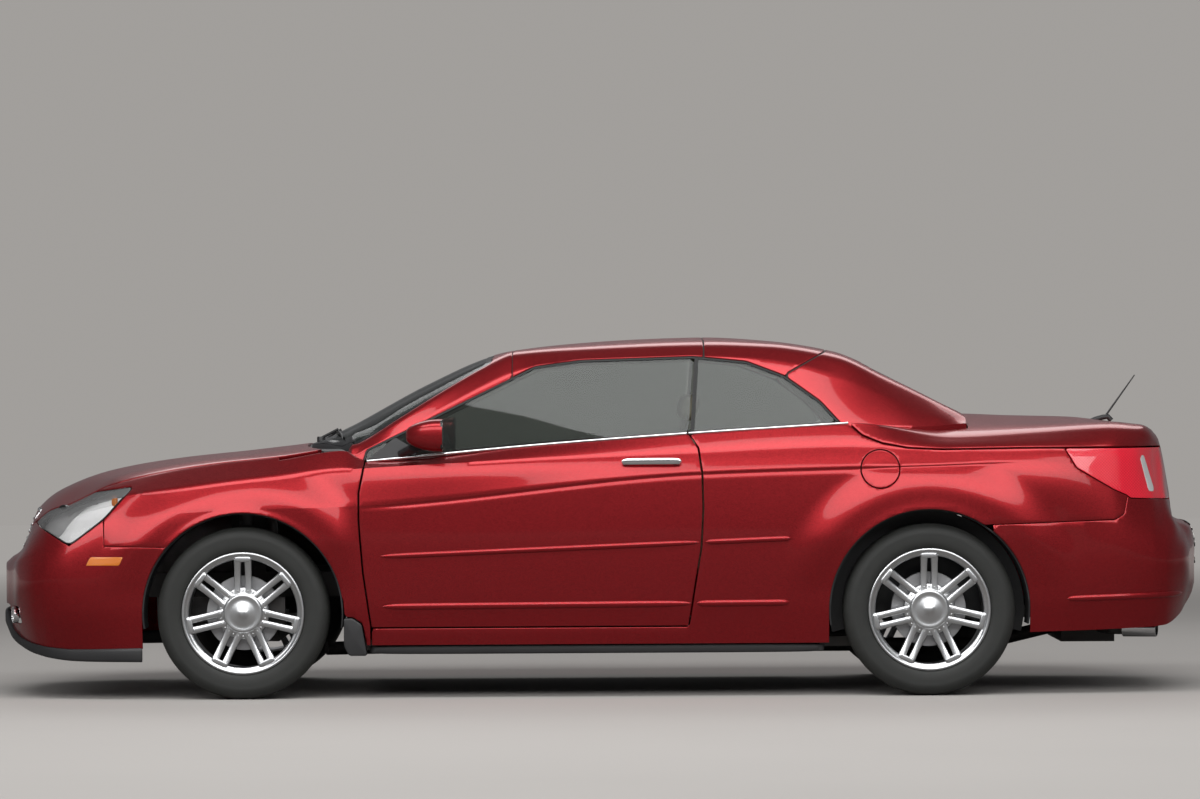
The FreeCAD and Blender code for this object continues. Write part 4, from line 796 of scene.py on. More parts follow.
# quarter panel with its sill, from the door back to the tail lamp; the left one has the fuel door's hole
quarterOutline = moved(doorRear, shutGap) + [(1006, 1097)] + moved(lidEdge[:-1], -3, -shutGap)
quarterOutline += [(1876, 993), (1922, 914), (2075, 825), (2130, 802), (2113, 727), (2075, 705), (1400, 683),
                   (1400, 150), (-921, 150), (-921, 282), (359, 282)]
quarterRight = both(fromSide(quarterOutline), outside(rearArch), outside(lidUpper, shutGap),
                    outside(tailLampSeat, seamGap))
quarterLeft = both(quarterRight, outside(fuelHole, 3.5))

# front fascia with the holes for grille, lower intake and fog lamps
grilleHole = both(fromFront([(606, -432), (606, 432), (640, 462), (700, 466), (752, 440), (768, 400),
                             (768, -400), (752, -440), (700, -466), (640, -462)]), within(x1=-2290))
intakeHole = both(fromFront([(288, -430), (288, 430), (330, 470), (374, 430), (374, -430), (330, -470)], 18),
                  within(x1=-2300))
fogHole = both(fromFront([(300, 535), (300, 640), (372, 655), (372, 535)], 18, mirrored=True),
               within(x1=-2200))
fasciaOutline = [(-2600, 100), (-1700, 100), (-1700, 612), (-1998, 620), (-2003, 727), (-2143, 622),
                 (-2215, 668), (-2320, 718), (-2330, 730), (-2336, 900), (-2600, 900)]
fasciaArea = both(fromSide(fasciaOutline), outside(frontArch), outside(headlampSeat, seamGap),
                  outside(hoodArea, 5), within(z0=100), outside(grilleHole), outside(intakeHole),
                  outside(fogHole))

# rear fascia: below the tail lamps, parted from the quarter panel by a thin seam
plateHole = both(fromFront([(520, -262), (520, 262), (668, 262), (668, -262)], 14), within(x0=2300))
bumperOutline = [(1400, 683), (2075, 705), (2113, 727), (2130, 802), (2142, 788), (2420, 778), (2600, 778),
                 (2600, 100), (1400, 100)]
bumperSeam = fromSide([(1400, 681), (2075, 703), (2113, 725), (2130, 800), (1400, 800)])
bumperArea = both(fromSide(bumperOutline), outside(rearArch), outside(lidFace, shutGap),
                  outside(tailLampSeat, seamGap), outside(bumperSeam, 0.6))


def cutPanel(name, patch, area, material=redPaint, depth=panelLook["depth"], roll=panelLook["roll"], lift=0.0,
             make=addPiece, sharp=panelLook["sharp"], **options):
    # part of a patch inside an area, thickened inwards; after the material come the depth, the roll of the
    # edge and how far the piece stands off the surface; pair makes it on both sides of the car
    mesh = thickened(*trimPatch(patch, area, roll), depth, lift=lift)
    make(name, mesh, material, sharp=sharp, keep=panelLook["keep"], **options)


cutPanel("fender", bodyLeft, fenderArea, make=pair, nodes=("front_fender_left", "front_fender_right"))
for side, area, turn in (("left", quarterLeft, lambda *mesh: mesh), ("right", quarterRight, flipped)):
    quarter = turn(*thickened(*trimPatch(bodyLeft, area), 5))
    addPiece("quarter" + side.title(), quarter, redPaint, node="quarter_panel_" + side,
             sharp=panelLook["sharp"], keep=panelLook["keep"])
cutPanel("frontFascia", bodyWhole, fasciaArea, node="front_bumper")
cutPanel("rearFascia", bodyWhole, bumperArea, node="rear_bumper")
cutPanel("hoodPanel", bodyWhole, hoodArea, depth=panelLook["lidDepth"], body="hood", node="hood")
cutPanel("trunkPanel", bodyWhole, either(lidUpper, lidFace), depth=panelLook["lidDepth"], body="trunk_lid",
         node="trunk_lid")
addPiece("fuelFlap", thickened(*trimPatch(bodyLeft, fuelHole, 2.0), 6), redPaint, "fuel_door", "fuel_door")
print("outer panels cut")

doorLook = {"innerAt": 778, "lean": 0.02, "leanMost": 8, "leanFrom": 700, "innerTop": 1040}
beltBelow = fromSide([(-1100, 100), (-1100, 941), (-943, 953), (-232, 1016), (358, 1058), (600, 1075),
                      (600, 100)])


def doorShell():
    # outer skin joined to a copy of itself that stands almost upright inside and ends below the belt
    def inward(outer):    # a plane that leans out by a share of the height, up to a limit
        lean = np.clip((outer[:, 2] - doorLook["leanFrom"]) * doorLook["lean"], 0, doorLook["leanMost"])
        inner = outer.copy()
        inner[:, 1] = lean - doorLook["innerAt"]
        inner[:, 2] = np.minimum(outer[:, 2], doorLook["innerTop"])
        return inner
    return thickened(*trimPatch(bodyLeft, both(doorArea, beltBelow), panelLook["roll"]), 0, inward)


pair("doorSkin", doorShell(), redPaint, doorSides, doorSides, keep=panelLook["keep"])

# roof: three folding panels, pillars and the frame round the windshield
roofLook = {"seam": 2.5, "sealSink": 4.0}
windowArea = fromSide(windowOutline, 12)
screenArea, rearScreenArea = fromAbove(screenPlan, 26), fromAbove(rearScreenPlan, 30)
doorTop = fromSide([(-1300, 700), (-1300, 957), (-950, 957), (-950, 962), (400, 1075), (400, 700)])
scuttle = within(x1=-990, y1=752)
frameArea = both(within(x1=headerX), outside(windowArea), outside(screenArea), outside(doorTop))
rearSplit = [(765, 1200), (765, 1303), (973, 1420), (973, 1700)]
middleRoof = fromSide([(frontSplit, 1200)] + rearSplit + [(frontSplit, 1700)])
rearRoof = fromSide(rearSplit[1:] + [(1600, 1700), (1600, 1030), (765, 1030)])
roofAreas = {"roofFront": both(within(headerX, frontSplit, z0=1200), outside(windowArea)),
             "roofMiddle": both(middleRoof, outside(windowArea)),
             "roofRear": both(rearRoof, outside(windowArea), outside(rearScreenArea))}
cutPanel("scuttleTrim", cabinWhole, both(frameArea, scuttle), blackPlastic, 8, 0, node="cowl")
cutPanel("screenFrame", cabinWhole, both(frameArea, outside(scuttle, 1)), depth=panelLook["roofDepth"],
         node="windshield_frame")
for name, area in roofAreas.items():
    cutPanel(name, cabinWhole, shrunk(area, roofLook["seam"]), depth=panelLook["roofDepth"],
             node="roof_" + name[4:].lower() + "_panel")

# rubber in the roof's seams; the patch is first divided along each seam's middle, so that the strips hold
for name, area, middle in (
        ("headerSeal", within(headerX - 4, headerX + 5, z0=1200), within(x1=headerX + 0.5)),
        ("splitSeal", within(frontSplit - 4, frontSplit + 5, z0=1200), within(x1=frontSplit + 0.5)),
        ("rearSplitSeal", fromSide([(760, 1240), (760, 1305), (968, 1422), (968, 1700), (980, 1700),
                                    (980, 1416), (772, 1299), (772, 1240)]),
         fromSide([(766, 1240), (766, 1302), (974, 1419), (974, 1700), (2000, 1700), (2000, 1240)]))):
    cutPanel(name, splitPatch(*cabinWhole, middle, keepBoth=True), both(area, outside(windowArea)),
             sealRubber, panelLook["roofDepth"] - 6, 0.0, -roofLook["sealSink"])
cowlArea = both(cowlReach, outside(hoodAbove, shutGap), within(y1=792))
cutPanel("cowlPanel", bodyWhole, cowlArea, blackPlastic, 8, 0.5, -9.0, node="cowl")
print("roof cut")


# shapes from profiles and paths
def closedGrid(grid, wrap=True, capEnds=True):
    # tube of rings: each row is a ring; its columns join up, and its ends close on their centres
    rows, columns = grid.shape[:2]
    points = grid.reshape(-1, 3)
    index = np.arange(rows * columns).reshape(rows, columns)
    if wrap:
        index = np.concatenate([index, index[:, :1]], axis=1)
    faces = [gridFaces(index)]
    if capEnds:
        points = np.concatenate([points, grid[0].mean(0)[None], grid[-1].mean(0)[None]])
        first, last = rows * columns, rows * columns + 1
        faces.append(np.stack([index[0, 1:], index[0, :-1], np.full(columns, first)], 1))
        faces.append(np.stack([index[-1, :-1], index[-1, 1:], np.full(columns, last)], 1))
    faces = np.concatenate(faces)
    corner = points[faces]
    volume = np.einsum("ij,ij->i", corner[:, 0], np.cross(corner[:, 1], corner[:, 2])).sum()
    return points, faces if volume > 0 else faces[:, ::-1]


def turned(profile, count=96, closed=True):
    # profile of radius, place along Y turned about the Y axis; a closed profile makes a ring
    profile = np.array(profile, float)
    if closed:
        profile = np.concatenate([profile, profile[:1]])
    angle = np.linspace(0, 2 * math.pi, count, endpoint=False)
    grid = np.stack([profile[:, :1] * np.cos(angle), np.repeat(profile[:, 1:], count, 1),
                     profile[:, :1] * np.sin(angle)], -1)
    return closedGrid(grid, capEnds=not closed)


def softBox(size, power=4.0, rows=24, columns=48, middle=(0, 0, 0)):
    # rounded box: a sphere's sines and cosines raised to a small power, then scaled to the size; the
    # higher the power, the squarer the box
    v = np.linspace(-math.pi / 2, math.pi / 2, rows)[:, None]
    u = np.linspace(-math.pi, math.pi, columns, endpoint=False)[None]

    def bend(value):    # keeps the sign and raises the size to the power
        return np.sign(value) * np.abs(value)**(2 / power)
    grid = np.stack([bend(np.cos(v)) * bend(np.cos(u)), bend(np.cos(v)) * bend(np.sin(u)),
                     bend(np.sin(v)) * np.ones_like(u)], -1)
    return closedGrid(grid * np.array(size) / 2 + np.array(middle))


def swept(path, section, up=(0, 0, 1), scale=None):
    # section carried along a path; its axes are the path's side and the up direction
    path, section = np.array(path, float), np.array(section, float)
    ahead = np.gradient(path, axis=0)
    ahead /= np.linalg.norm(ahead, axis=1, keepdims=True)
    side = np.cross(ahead, np.broadcast_to(np.array(up, float), ahead.shape))
    side /= np.linalg.norm(side, axis=1, keepdims=True) + 1e-9
    top = np.cross(side, ahead)
    size = np.ones(len(path)) if scale is None else np.array(scale, float)
    rings = side[:, None] * section[None, :, :1] + top[:, None] * section[None, :, 1:]
    return closedGrid(path[:, None] + size[:, None, None] * rings)


def roundSection(width, height, power=2.0, count=16):
    # closed curve between an ellipse and a rectangle
    u = np.linspace(0, 2 * math.pi, count, endpoint=False)
    return np.stack([np.sign(np.cos(u)) * np.abs(np.cos(u))**(2 / power) * width / 2,
                     np.sign(np.sin(u)) * np.abs(np.sin(u))**(2 / power) * height / 2], 1)


def placed(mesh, origin=(0, 0, 0), axes=((1, 0, 0), (0, 1, 0), (0, 0, 1))):
    # mesh set on the given axes at an origin; a mirrored set of axes turns its faces round
    points, faces = mesh
    axes = np.array(axes, float)
    return points @ axes + np.array(origin, float), faces if np.linalg.det(axes) > 0 else faces[:, ::-1]


def heightsOf(x, z, lines=bodyLines, creases=bodyCreases, spans=bodySpans, rows=(0, 44)):
    # place on the left side at given x and z: the section at each x is read where it passes z
    x, z = np.asarray(x, float), np.asarray(z, float)
    section = linedSurface(lines, creases, spans, x)[rows[0]:rows[1]]
    below = np.argmax(section[..., 2] > z, axis=0).clip(1)
    columns = np.arange(len(x))
    low, high = section[below - 1, columns], section[below, columns]
    share = ((z - low[:, 2]) / (high[:, 2] - low[:, 2] + 1e-9)).clip(0, 1)[:, None]
    here = low * (1 - share) + high * share
    here[:, 1] -= sideRelief(here[:, 0], here[:, 2])
    return here


def sidePath(x, z, lift):
    # points on the left side moved out along the surface's normal
    x, z = np.asarray(x, float), np.asarray(z, float)
    here, ahead, above = heightsOf(x, z), heightsOf(x + 6, z), heightsOf(x, z + 6)
    normal = np.stack([(ahead - here)[:, 1] / 6, -np.ones(len(x)), (above - here)[:, 1] / 6], 1)
    normal /= np.linalg.norm(normal, axis=1, keepdims=True)
    return bowed(here) + normal * lift


def topHeight(x, y, lines, creases, spans):
    # height of an upper surface at x and y: each section is read at the half width
    x, y = np.asarray(x, float), np.maximum(np.abs(np.asarray(y, float)), 0.5)
    section = linedSurface(lines, creases, spans, x)
    past = np.argmax(-section[..., 1] < y, axis=0).clip(1)
    columns = np.arange(len(x))
    low, high = section[past - 1, columns], section[past, columns]
    share = ((-low[:, 1] - y) / (high[:, 1] - low[:, 1] + 1e-9)).clip(0, 1)
    return low[:, 2] * (1 - share) + high[:, 2] * share


def acrossCar(outline, halfWidth, radius, bow=0.0, middle=0.0):
    # side outline carried across the car; it shrinks at both ends and bows along x like a parabola
    section = rounded(outline, radius, 5)
    centre = section.mean(0)
    s = np.concatenate([[-1, -0.995, -0.985], np.linspace(-0.96, 0.96, 25), [0.985, 0.995, 1]])
    shrink = (1 - 0.10 * np.clip((np.abs(s) - 0.95) / 0.05, 0, 1)**2)[:, None]
    x = centre[0] + (section[None, :, 0] - centre[0]) * shrink + bow * s[:, None]**2
    z = centre[1] + (section[None, :, 1] - centre[1]) * shrink
    return closedGrid(np.stack([x, np.broadcast_to(middle + s[:, None] * halfWidth, x.shape), z], -1))


# wheels, drawn with the outer side towards -Y; profiles are radius and place along the axle
wheelLook = {"pairs": 7, "rimRadius": 247.5, "lipAt": 95.0, "hubAt": 84.0, "capRadius": 79.0, "beads": 28,
             "barWidth": 27, "barHeight": 30, "barApart": 22, "barFrom": 70, "barLength": 150,
             "ringStations": 112}
tyreLook = {"stations": 189, "treadHalf": 68, "treadRadius": 346.6, "crown": 1.1, "groove": 7.0, "blocks": 63,
            "grooves": (20.0, 52.0), "sideRings": (268, 308)}


def spun(mesh, angle):
    # mesh turned about the axle
    c, s = math.cos(angle), math.sin(angle)
    return mesh[0] @ np.array([[c, 0, -s], [0, 1, 0], [s, 0, c]]), mesh[1]


def wheelRim():
    # barrel, lip and flange as one closed profile turned about the axle
    r, lip = wheelLook["rimRadius"], wheelLook["lipAt"]
    barrel = [(r - 19, -86), (r - 19, 70), (r - 16, 84), (r - 4, 88), (r, 91), (r, lip - 1),
              (r - 2, lip + 1.5), (r - 7, lip + 2.5), (r - 12, lip + 1), (r - 15, lip - 4), (r - 21, lip - 6),
              (r - 27, lip - 9), (r - 30, lip - 16), (r - 31, lip - 34), (r - 29, 40), (r - 27, -60),
              (r - 27, -86)]
    return turned([(a, -b) for a, b in barrel], wheelLook["ringStations"])


def wheelSpokes():
    # each bar runs out from the hub; its width and place along the axle are smooth functions of the radius
    bars = []
    s = np.linspace(0, 1, 15)
    radius = wheelLook["barFrom"] + s * wheelLook["barLength"]
    front = wheelLook["hubAt"] - 3 + 10 * s**1.5 - 5 * np.sin(s * math.pi)
    wide = wheelLook["barWidth"] + 5 * np.abs(2 * s - 1)**3
    section = roundSection(1.0, 1.0, 5.0, 16)
    pad = softBox((70, 22, 22), 5.0, 10, 20, (0, 2 - wheelLook["hubAt"], 218))    # joins a pair at the rim
    for angle in np.arange(wheelLook["pairs"]) * 2 * math.pi / wheelLook["pairs"]:
        for side in (-1, 1):
            across = side * (wheelLook["barApart"] - s)
            grid = np.stack([across[:, None] + section[None, :, 0] * wide[:, None],
                             15 - front[:, None] + section[None, :, 1] * wheelLook["barHeight"],
                             np.repeat(radius[:, None], 16, 1)], -1)
            bars.append(spun(closedGrid(grid), angle))
        bars.append(spun(pad, angle))
    return joined(*bars)


def wheelHub():
    # stepped cap turned about the axle, with a ring of small beads round it
    at, r = wheelLook["hubAt"], wheelLook["capRadius"]
    hub = [(0.01, at + 12), (14, at + 12), (17, at + 10), (30, at + 8.5), (48, at + 3), (r - 16, at + 2),
           (r - 8, at + 5), (r - 3, at + 3), (r, at - 2), (r + 4, at - 5), (r + 22, at - 7),
           (r + 26, at - 12), (r + 24, at - 40), (70, at - 60), (0.01, at - 60)]
    bead, ring = softBox((7, 6, 7), 2.0, 6, 10), r + 13
    angles = np.arange(wheelLook["beads"]) * 2 * math.pi / wheelLook["beads"]
    beads = [placed(bead, (ring * math.cos(a), 5.5 - at, ring * math.sin(a))) for a in angles]
    return joined(turned([(a, -b) for a, b in hub], 72, closed=False), *beads)


def wheelDisc():
    # brake disc, grooved round its edge, with its bell: one closed profile turned about the axle
    profile = [(60, 6), (150, 6), (151, 4), (151, -3), (149, -4), (149, -7), (151, -8), (151, -15),
               (150, -17), (78, -17), (74, -26), (72, -50), (60, -50)]
    return turned(profile, 64)


def tyreShape():
    # section turned about the axle: rounded sides with two rings, and a tread whose grooves are set by the
    # distance from two lines round it and by a cosine of the angle and of the place across
    stations, across = tyreLook["stations"], tyreLook["treadHalf"]
    half = [(231, 86), (247, 91), (251, 98), (262, 103.5), (282, 107), (300, 107.4), (312, 106.4), (322, 103),
            (332, 96.5), (339, 88), (343.5, 78), (345.5, 68)]
    side = smoothAlong([(k, *row) for k, row in enumerate(half)], np.linspace(0, len(half) - 1, 25))
    place = np.linspace(across, -across, 37)[1:-1]
    tread = np.stack([tyreLook["treadRadius"] - (place / across)**2 * tyreLook["crown"], place], 1)
    profile = np.concatenate([side, tread, side[::-1] * (1, -1)])
    angle = np.linspace(0, 2 * math.pi, stations, endpoint=False)
    radius, place = np.repeat(profile[:, :1], stations, 1), profile[:, 1:]
    onTread = np.clip((radius - 340) / 5, 0, 1)
    toGroove = np.abs(np.abs(place) - np.array(tyreLook["grooves"])[None]).min(1, keepdims=True)
    ring = np.clip(1.3 - toGroove / 4.5, 0, 1)
    wave = np.cos(angle[None] * tyreLook["blocks"] + np.abs(place) * 0.045)
    lateral = np.clip(wave * 3 - 2.0, 0, 1) * (np.abs(place) > 24)
    radius = radius - onTread * tyreLook["groove"] * np.maximum(ring, lateral * 0.75)
    low, high = (0.9 * np.exp(-((profile[:, :1] - at) / width)**2)
                 for at, width in zip(tyreLook["sideRings"], (2.2, 2.4)))
    wide = place + np.sign(place) * (low + high)
    wide = np.broadcast_to(wide, radius.shape)
    grid = np.stack([radius * np.cos(angle), -wide, radius * np.sin(angle)], -1)
    bead = np.array([(222, -60), (222, 60)])    # the inner side, which closes the section
    core = np.stack([bead[:, :1] * np.cos(angle), -np.repeat(bead[:, 1:], stations, 1),
                     bead[:, :1] * np.sin(angle)], -1)
    return closedGrid(np.concatenate([core, grid, core[:1]]), capEnds=False)


wheelParts = {"rim": (wheelRim(), wheelSilver), "spokes": (wheelSpokes(), wheelSilver),
              "hub": (wheelHub(), wheelSilver), "disc": (wheelDisc(), discSteel),
              "tyre": (tyreShape(), tyreRubber)}
for corner, centre in wheelCentres.items():
    side = 1 if corner.endswith("left") else -1
    for part, (mesh, material) in wheelParts.items():
        node = ("tyre_" if part == "tyre" else "rim_") + corner
        addPiece(part + corner.title().replace("_", ""), placed(mesh, centre, np.diag((side, side, 1))),
                 material, "wheel_" + corner, node, sharp=50)
print("wheels ready")

# lamps: a lens, the band that closes it to its seat, and the bowl behind it
lampLook = {"gap": 1.0, "lens": 3.0, "band": 4.0, "headDepth": 40, "tailDepth": 30}


def lampPieces(name, seat, node, lens, depth, bowl):
    # all three follow the body's surface: the lens on it, the band down from it and the bowl at the depth
    area = shrunk(seat, lampLook["gap"])
    middle = splitPatch(*bodyLeft, shrunk(area, 2.0), keepBoth=True)
    band = trimPatch(middle, both(area, outside(shrunk(area, lampLook["band"]))), 0)
    back = trimPatch(bodyLeft, shrunk(area, 3.0), 0)
    names = (node, node)
    pair(name + "Lens", thickened(*trimPatch(bodyLeft, area, 2.0), lampLook["lens"]), lens, nodes=names)
    pair(name + "Band", thickened(*band, depth, lift=-3.4), glossBlack, nodes=names)
    pair(name + "Bowl", thickened(*back, 6, lift=-depth), bowl, nodes=names, slot="bright_trim")


lampPieces("headlamp", headlampSeat, "headlamps", lensClear, lampLook["headDepth"], lampSilver)
lampPieces("tailLamp", tailLampSeat, "tail_lamps", lampRed, lampLook["tailDepth"], glossBlack)


def lampBowl(radius, depth, wall=2.5):
    # parabola turned about its axis with a thin wall, opening towards -Y
    r = np.linspace(0.01, radius, 14)
    outer = np.stack([r, depth - (r / radius)**2 * depth], 1)
    return turned(np.concatenate([outer, outer[::-1] - (0, wall)]), 40, closed=False)


def facing(origin, direction):
    # axes that take -Y to the direction, with z as near upright as that allows
    y = -np.array(direction, float) / np.linalg.norm(direction)
    x = np.cross(y, (0, 0, 1.0))
    x /= np.linalg.norm(x)
    return {"origin": origin, "axes": (x, y, np.cross(x, y))}


bowlLook = {"mainBowl": ((-2178, -655, 738), 44), "highBowl": ((-2046, -708, 758), 34)}    # middle, radius
for name, (origin, radius) in bowlLook.items():
    place = facing(origin, (-0.75, -0.66, 0.0))
    ring = [(radius - 4, -6), (radius + 3, -6), (radius + 3, 8), (radius - 4, 8)]
    pair(name, placed(lampBowl(radius, 30), **place), reflector, slot="bright_trim")
    pair(name + "Ring", placed(turned(ring, 40), **place), glossBlack)
    pair(name + "Bulb", placed(softBox((26, 30, 26), 2.0, 12, 20), **place), lampPale)
pair("turnLamp", placed(softBox((26, 16, 50), 3.0, 12, 20), **facing((-1960, -796, 800), (-0.4, -0.9, 0.0))),
     lampAmber)
sideMarker = fromSide([(-2073, 543), (-2052, 577), (-1918, 577), (-1936, 543)], 5)
cutPanel("sideMarker", bodyLeft, sideMarker, lampAmber, 5, 1.0, 2.2, make=pair)
reverseLamp = both(fromSide([(2186, 960), (2206, 962), (2250, 815), (2222, 815)], 6), within(y0=506))
cutPanel("reverseLamp", bodyLeft, reverseLamp, lampPale, 2.4, 0.8, 1.2, make=pair)

# grille: bright slats in a bright frame, then the lower intake and the fog lamps
grilleLook = {"slats": (612, 638, 664, 690, 716), "slat": 12, "depth": 34, "halfWidth": 424, "narrowing": 10,
              "back": 44, "frame": 12}


def noseLine(z, half, lift, count=61):
    # line across the nose at a height: the place along x where the top surface passes that height
    y = np.linspace(-half, half, count)
    stations = np.linspace(-2468, -2200, 70)
    x, across = np.meshgrid(stations, y, indexing="ij")
    height = topHeight(x.ravel(), across.ravel(), bodyLines, bodyCreases, bodySpans).reshape(x.shape)
    above = np.argmax(height > z, axis=0).clip(1)
    column = np.arange(count)
    low, high = height[above - 1, column], height[above, column]
    share = ((z - low) / (high - low + 1e-9)).clip(0, 1)
    line = np.stack([stations[above - 1] * (1 - share) + stations[above] * share, y, np.full(count, z)], 1)
    return bowed(line) - np.array((lift, 0, 0))


slatSection = roundSection(grilleLook["depth"], grilleLook["slat"], 2.6, 16)
slats = []
for index, z in enumerate(grilleLook["slats"]):
    half = grilleLook["halfWidth"] - grilleLook["narrowing"] * abs(index - 2)
    slats.append(swept(noseLine(z + grilleLook["slat"] / 2, half, -14), slatSection))
addPiece("grilleSlats", joined(*slats), chrome, node="grille")
grilleRim = both(shrunk(grilleHole, 1.5), outside(shrunk(grilleHole, grilleLook["frame"])))
cutPanel("grilleFrame", bodyWhole, grilleRim, chrome, 30, 3.0, 3.0, sharp=30, node="grille")
cutPanel("grilleBack", bodyWhole, shrunk(grilleHole, 2), glossBlack, 4, 0, -grilleLook["back"], node="grille")
intakeBars = either(*[within(z0=z, z1=z + 7) for z in range(298, 363, 16)],
                    *[within(y0=y, y1=y + 6) for y in range(40, 401, 90)])
cutPanel("intakeMesh", bodyWhole, both(shrunk(intakeHole, 2), intakeBars), blackPlastic, 14, 0.8, -16.0,
         node="grille")
cutPanel("intakeBack", bodyWhole, shrunk(intakeHole, 1), blackPlastic, 3, 0, -42.0, node="grille")
cutPanel("fogPocket", bodyLeft, shrunk(fogHole, 1), blackPlastic, 3, 0, -40.0, make=pair)
fogPlace = facing((-2388, -592, 336), (-1, -0.32, 0))
fogLamp = joined(lampBowl(30, 22), softBox((56, 10, 56), 2.4, 12, 28, (0, -2, 0)))
pair("fogLamp", placed(fogLamp, **fogPlace), lampPale)
pair("fogRing", placed(turned([(28, -9), (34, -9), (34, 10), (28, 10)], 40), **fogPlace), chrome)

print("lamps and grille ready")

# painted mouldings along the sides: start and end as x and z, height, thickness, lift, stations
mouldingLook = {"doorMoulding": ((-884, 574), (398, 624), 22, 19, 0.5, 60),
                "quarterMoulding": ((424, 625), (770, 638), 22, 19, 0.5, 24),
                "doorLowMoulding": ((-876, 372), (362, 378), 26, 21, 0.0, 60),
                "quarterLowMoulding": ((388, 378), (760, 380), 26, 21, 0.0, 24),
                "bumperMoulding": ((1880, 388), (2400, 402), 24, 20, 0.0, 40)}
for name, ((x0, z0), (x1, z1), height, thickness, lift, count) in mouldingLook.items():
    # the height tapers at both ends like a stretched ellipse
    s = np.linspace(0, 1, count)
    path = sidePath(x0 + (x1 - x0) * s, z0 + (z1 - z0) * s, lift)
    size = np.clip(1 - np.abs(2 * s - 1)**14, 0.03, 1)**0.5
    pair(name, swept(path, roundSection(thickness, height, 2.6), scale=size), redPaint,
         doorSides if name.startswith("door") else bothBody)


def beltStrip(name, x0, x1, bodies):
    # bright strip that follows the foot of the side glass
    x = np.linspace(x0, x1, 70)
    z = smoothAlong(beltLine, x)[:, 0]
    y = -smoothAlong(bodyLines[5], x)[:, 1]
    pair(name, swept(np.stack([x, y + 2.0, z + 1.5], 1), roundSection(13, 11, 3.0)), chrome, bodies)


beltStrip("beltStripDoor", -938, 352, doorSides)
beltStrip("beltStripQuarter", 360, 1004, bothBody)

# door handle: a bar along the skin on two feet
handleLook = {"from": 89, "to": 329, "height": 943.0, "stand": 24, "section": (13, 26), "feet": (104, 312)}
handleX = np.linspace(handleLook["from"], handleLook["to"], 40)
handlePath = sidePath(handleX, np.full(40, handleLook["height"]), handleLook["stand"])
ends = np.clip(1 - np.abs(np.linspace(-1, 1, 40))**10, 0.1, 1)**0.5
handleBar = swept(handlePath, roundSection(*handleLook["section"], 3.0), scale=ends)
feet = [softBox((26, 34, 20), 4.0, 10, 20, sidePath([x], [handleLook["height"]], 8)[0])
        for x in handleLook["feet"]]
pair("doorHandle", joined(handleBar, *feet), chrome, doorSides)

# mirror: the glass looks to the rear from inside a rounded head on a short arm
mirrorLook = {"from": -776, "length": 146, "size": (158, 130), "at": (-937, 1060), "glass": (138, 108),
              "rim": (152, 122)}
mirrorNodes = ("mirror_left", "mirror_right")


def mirrorHead():
    # rings along x grow from a rounded nose to the flat glass frame, like a sine raised to a power
    s = np.linspace(0, 1, 20)
    y, z = mirrorLook["at"]
    x = mirrorLook["from"] + mirrorLook["length"] * s
    size = 0.30 + 0.70 * np.sin(np.clip(s * 1.15, 0, 1) * math.pi / 2)**0.62
    section = roundSection(*mirrorLook["size"], 3.2, 36)
    return closedGrid(np.stack([np.repeat(x[:, None], 36, 1), y + section[None, :, 0] * size[:, None],
                                z + section[None, :, 1] * size[:, None]], -1))


pair("mirrorHead", mirrorHead(), redPaint, doorSides, mirrorNodes, sharp=50)
pair("mirrorGlass", softBox((4, *mirrorLook["glass"]), 6.0, 12, 32, (-629.5, -937, 1062)), chrome, doorSides)
pair("mirrorRim", softBox((10, *mirrorLook["rim"]), 6.0, 12, 32, (-633, -937, 1061)), glossBlack, doorSides)
armPath = [(0, -790, -822, 985), (1, -776, -840, 994), (2, -756, -866, 1004), (3, -738, -900, 1012)]
mirrorArm = swept(smoothAlong(armPath, np.linspace(0, 3, 16)), roundSection(62, 30, 3.0, 20))
pair("mirrorArm", mirrorArm, blackPlastic, doorSides, mirrorNodes)
sailArea = fromSide([(-940, 962), (-826, 1052), (-742, 1000), (-742, 976)], 8)
cutPanel("mirrorSail", cabinLeft, sailArea, blackPlastic, 6, 1.0, 1.5, make=pair, bodies=doorSides)

# glass with its dark bands and rubber seals
glassLook = {"thickness": 4.5, "sink": 3.0, "sideSink": 4.0, "gap": 2, "sideGap": 8.5, "band": 24,
             "rearBand": 26}


def screenPieces(name, area, node, band):
    # a pane just below the surface, and the printed band along its edge
    rim = both(area, outside(shrunk(area, band)))
    cutPanel(name, cabinWhole, area, screenGlass, glassLook["thickness"], 0, -glassLook["sink"], node=node)
    cutPanel(name + "Band", cabinWhole, rim, glossBlack, 1.0, 0, -1.6, node=node)


screenPieces("windscreen", both(shrunk(screenArea, glassLook["gap"]), within(x1=-434)), "windshield",
             glassLook["band"])
screenPieces("rearPane", shrunk(rearScreenArea, glassLook["gap"]), "rear_window", glassLook["rearBand"])
aboveBelt = fromSide([(-960, 961), (-943, 961), (-232, 1024), (358, 1066), (1010, 1104), (1010, 1500),
                      (-1000, 1500)])
sidePane = both(shrunk(windowArea, glassLook["sideGap"]), aboveBelt)
beforePost = fromSide([(-1000, 900), (-1000, 1500), (384, 1500), (384, 1374), (358, 1058), (358, 900)])
behindPost = fromSide([(392, 1500), (392, 1374), (366, 1058), (366, 900), (1100, 900), (1100, 1500)])
for name, area, bodies, nodes in (
        ("doorPane", beforePost, doorSides, ("door_glass_left", "door_glass_right")),
        ("quarterPane", behindPost, bothBody, ("quarter_windows", "quarter_windows"))):
    cutPanel(name, cabinLeft, both(sidePane, area), sideGlass, glassLook["thickness"], 0,
             -glassLook["sideSink"], make=pair, bodies=bodies, nodes=nodes)
sealRing = both(windowArea, outside(shrunk(windowArea, 8)), aboveBelt)
sealPatch = splitPatch(*cabinLeft, shrunk(windowArea, 4), keepBoth=True)
postStrip = fromSide([(391.5, 1400), (407.5, 1400), (381.5, 1040), (365.5, 1040)])
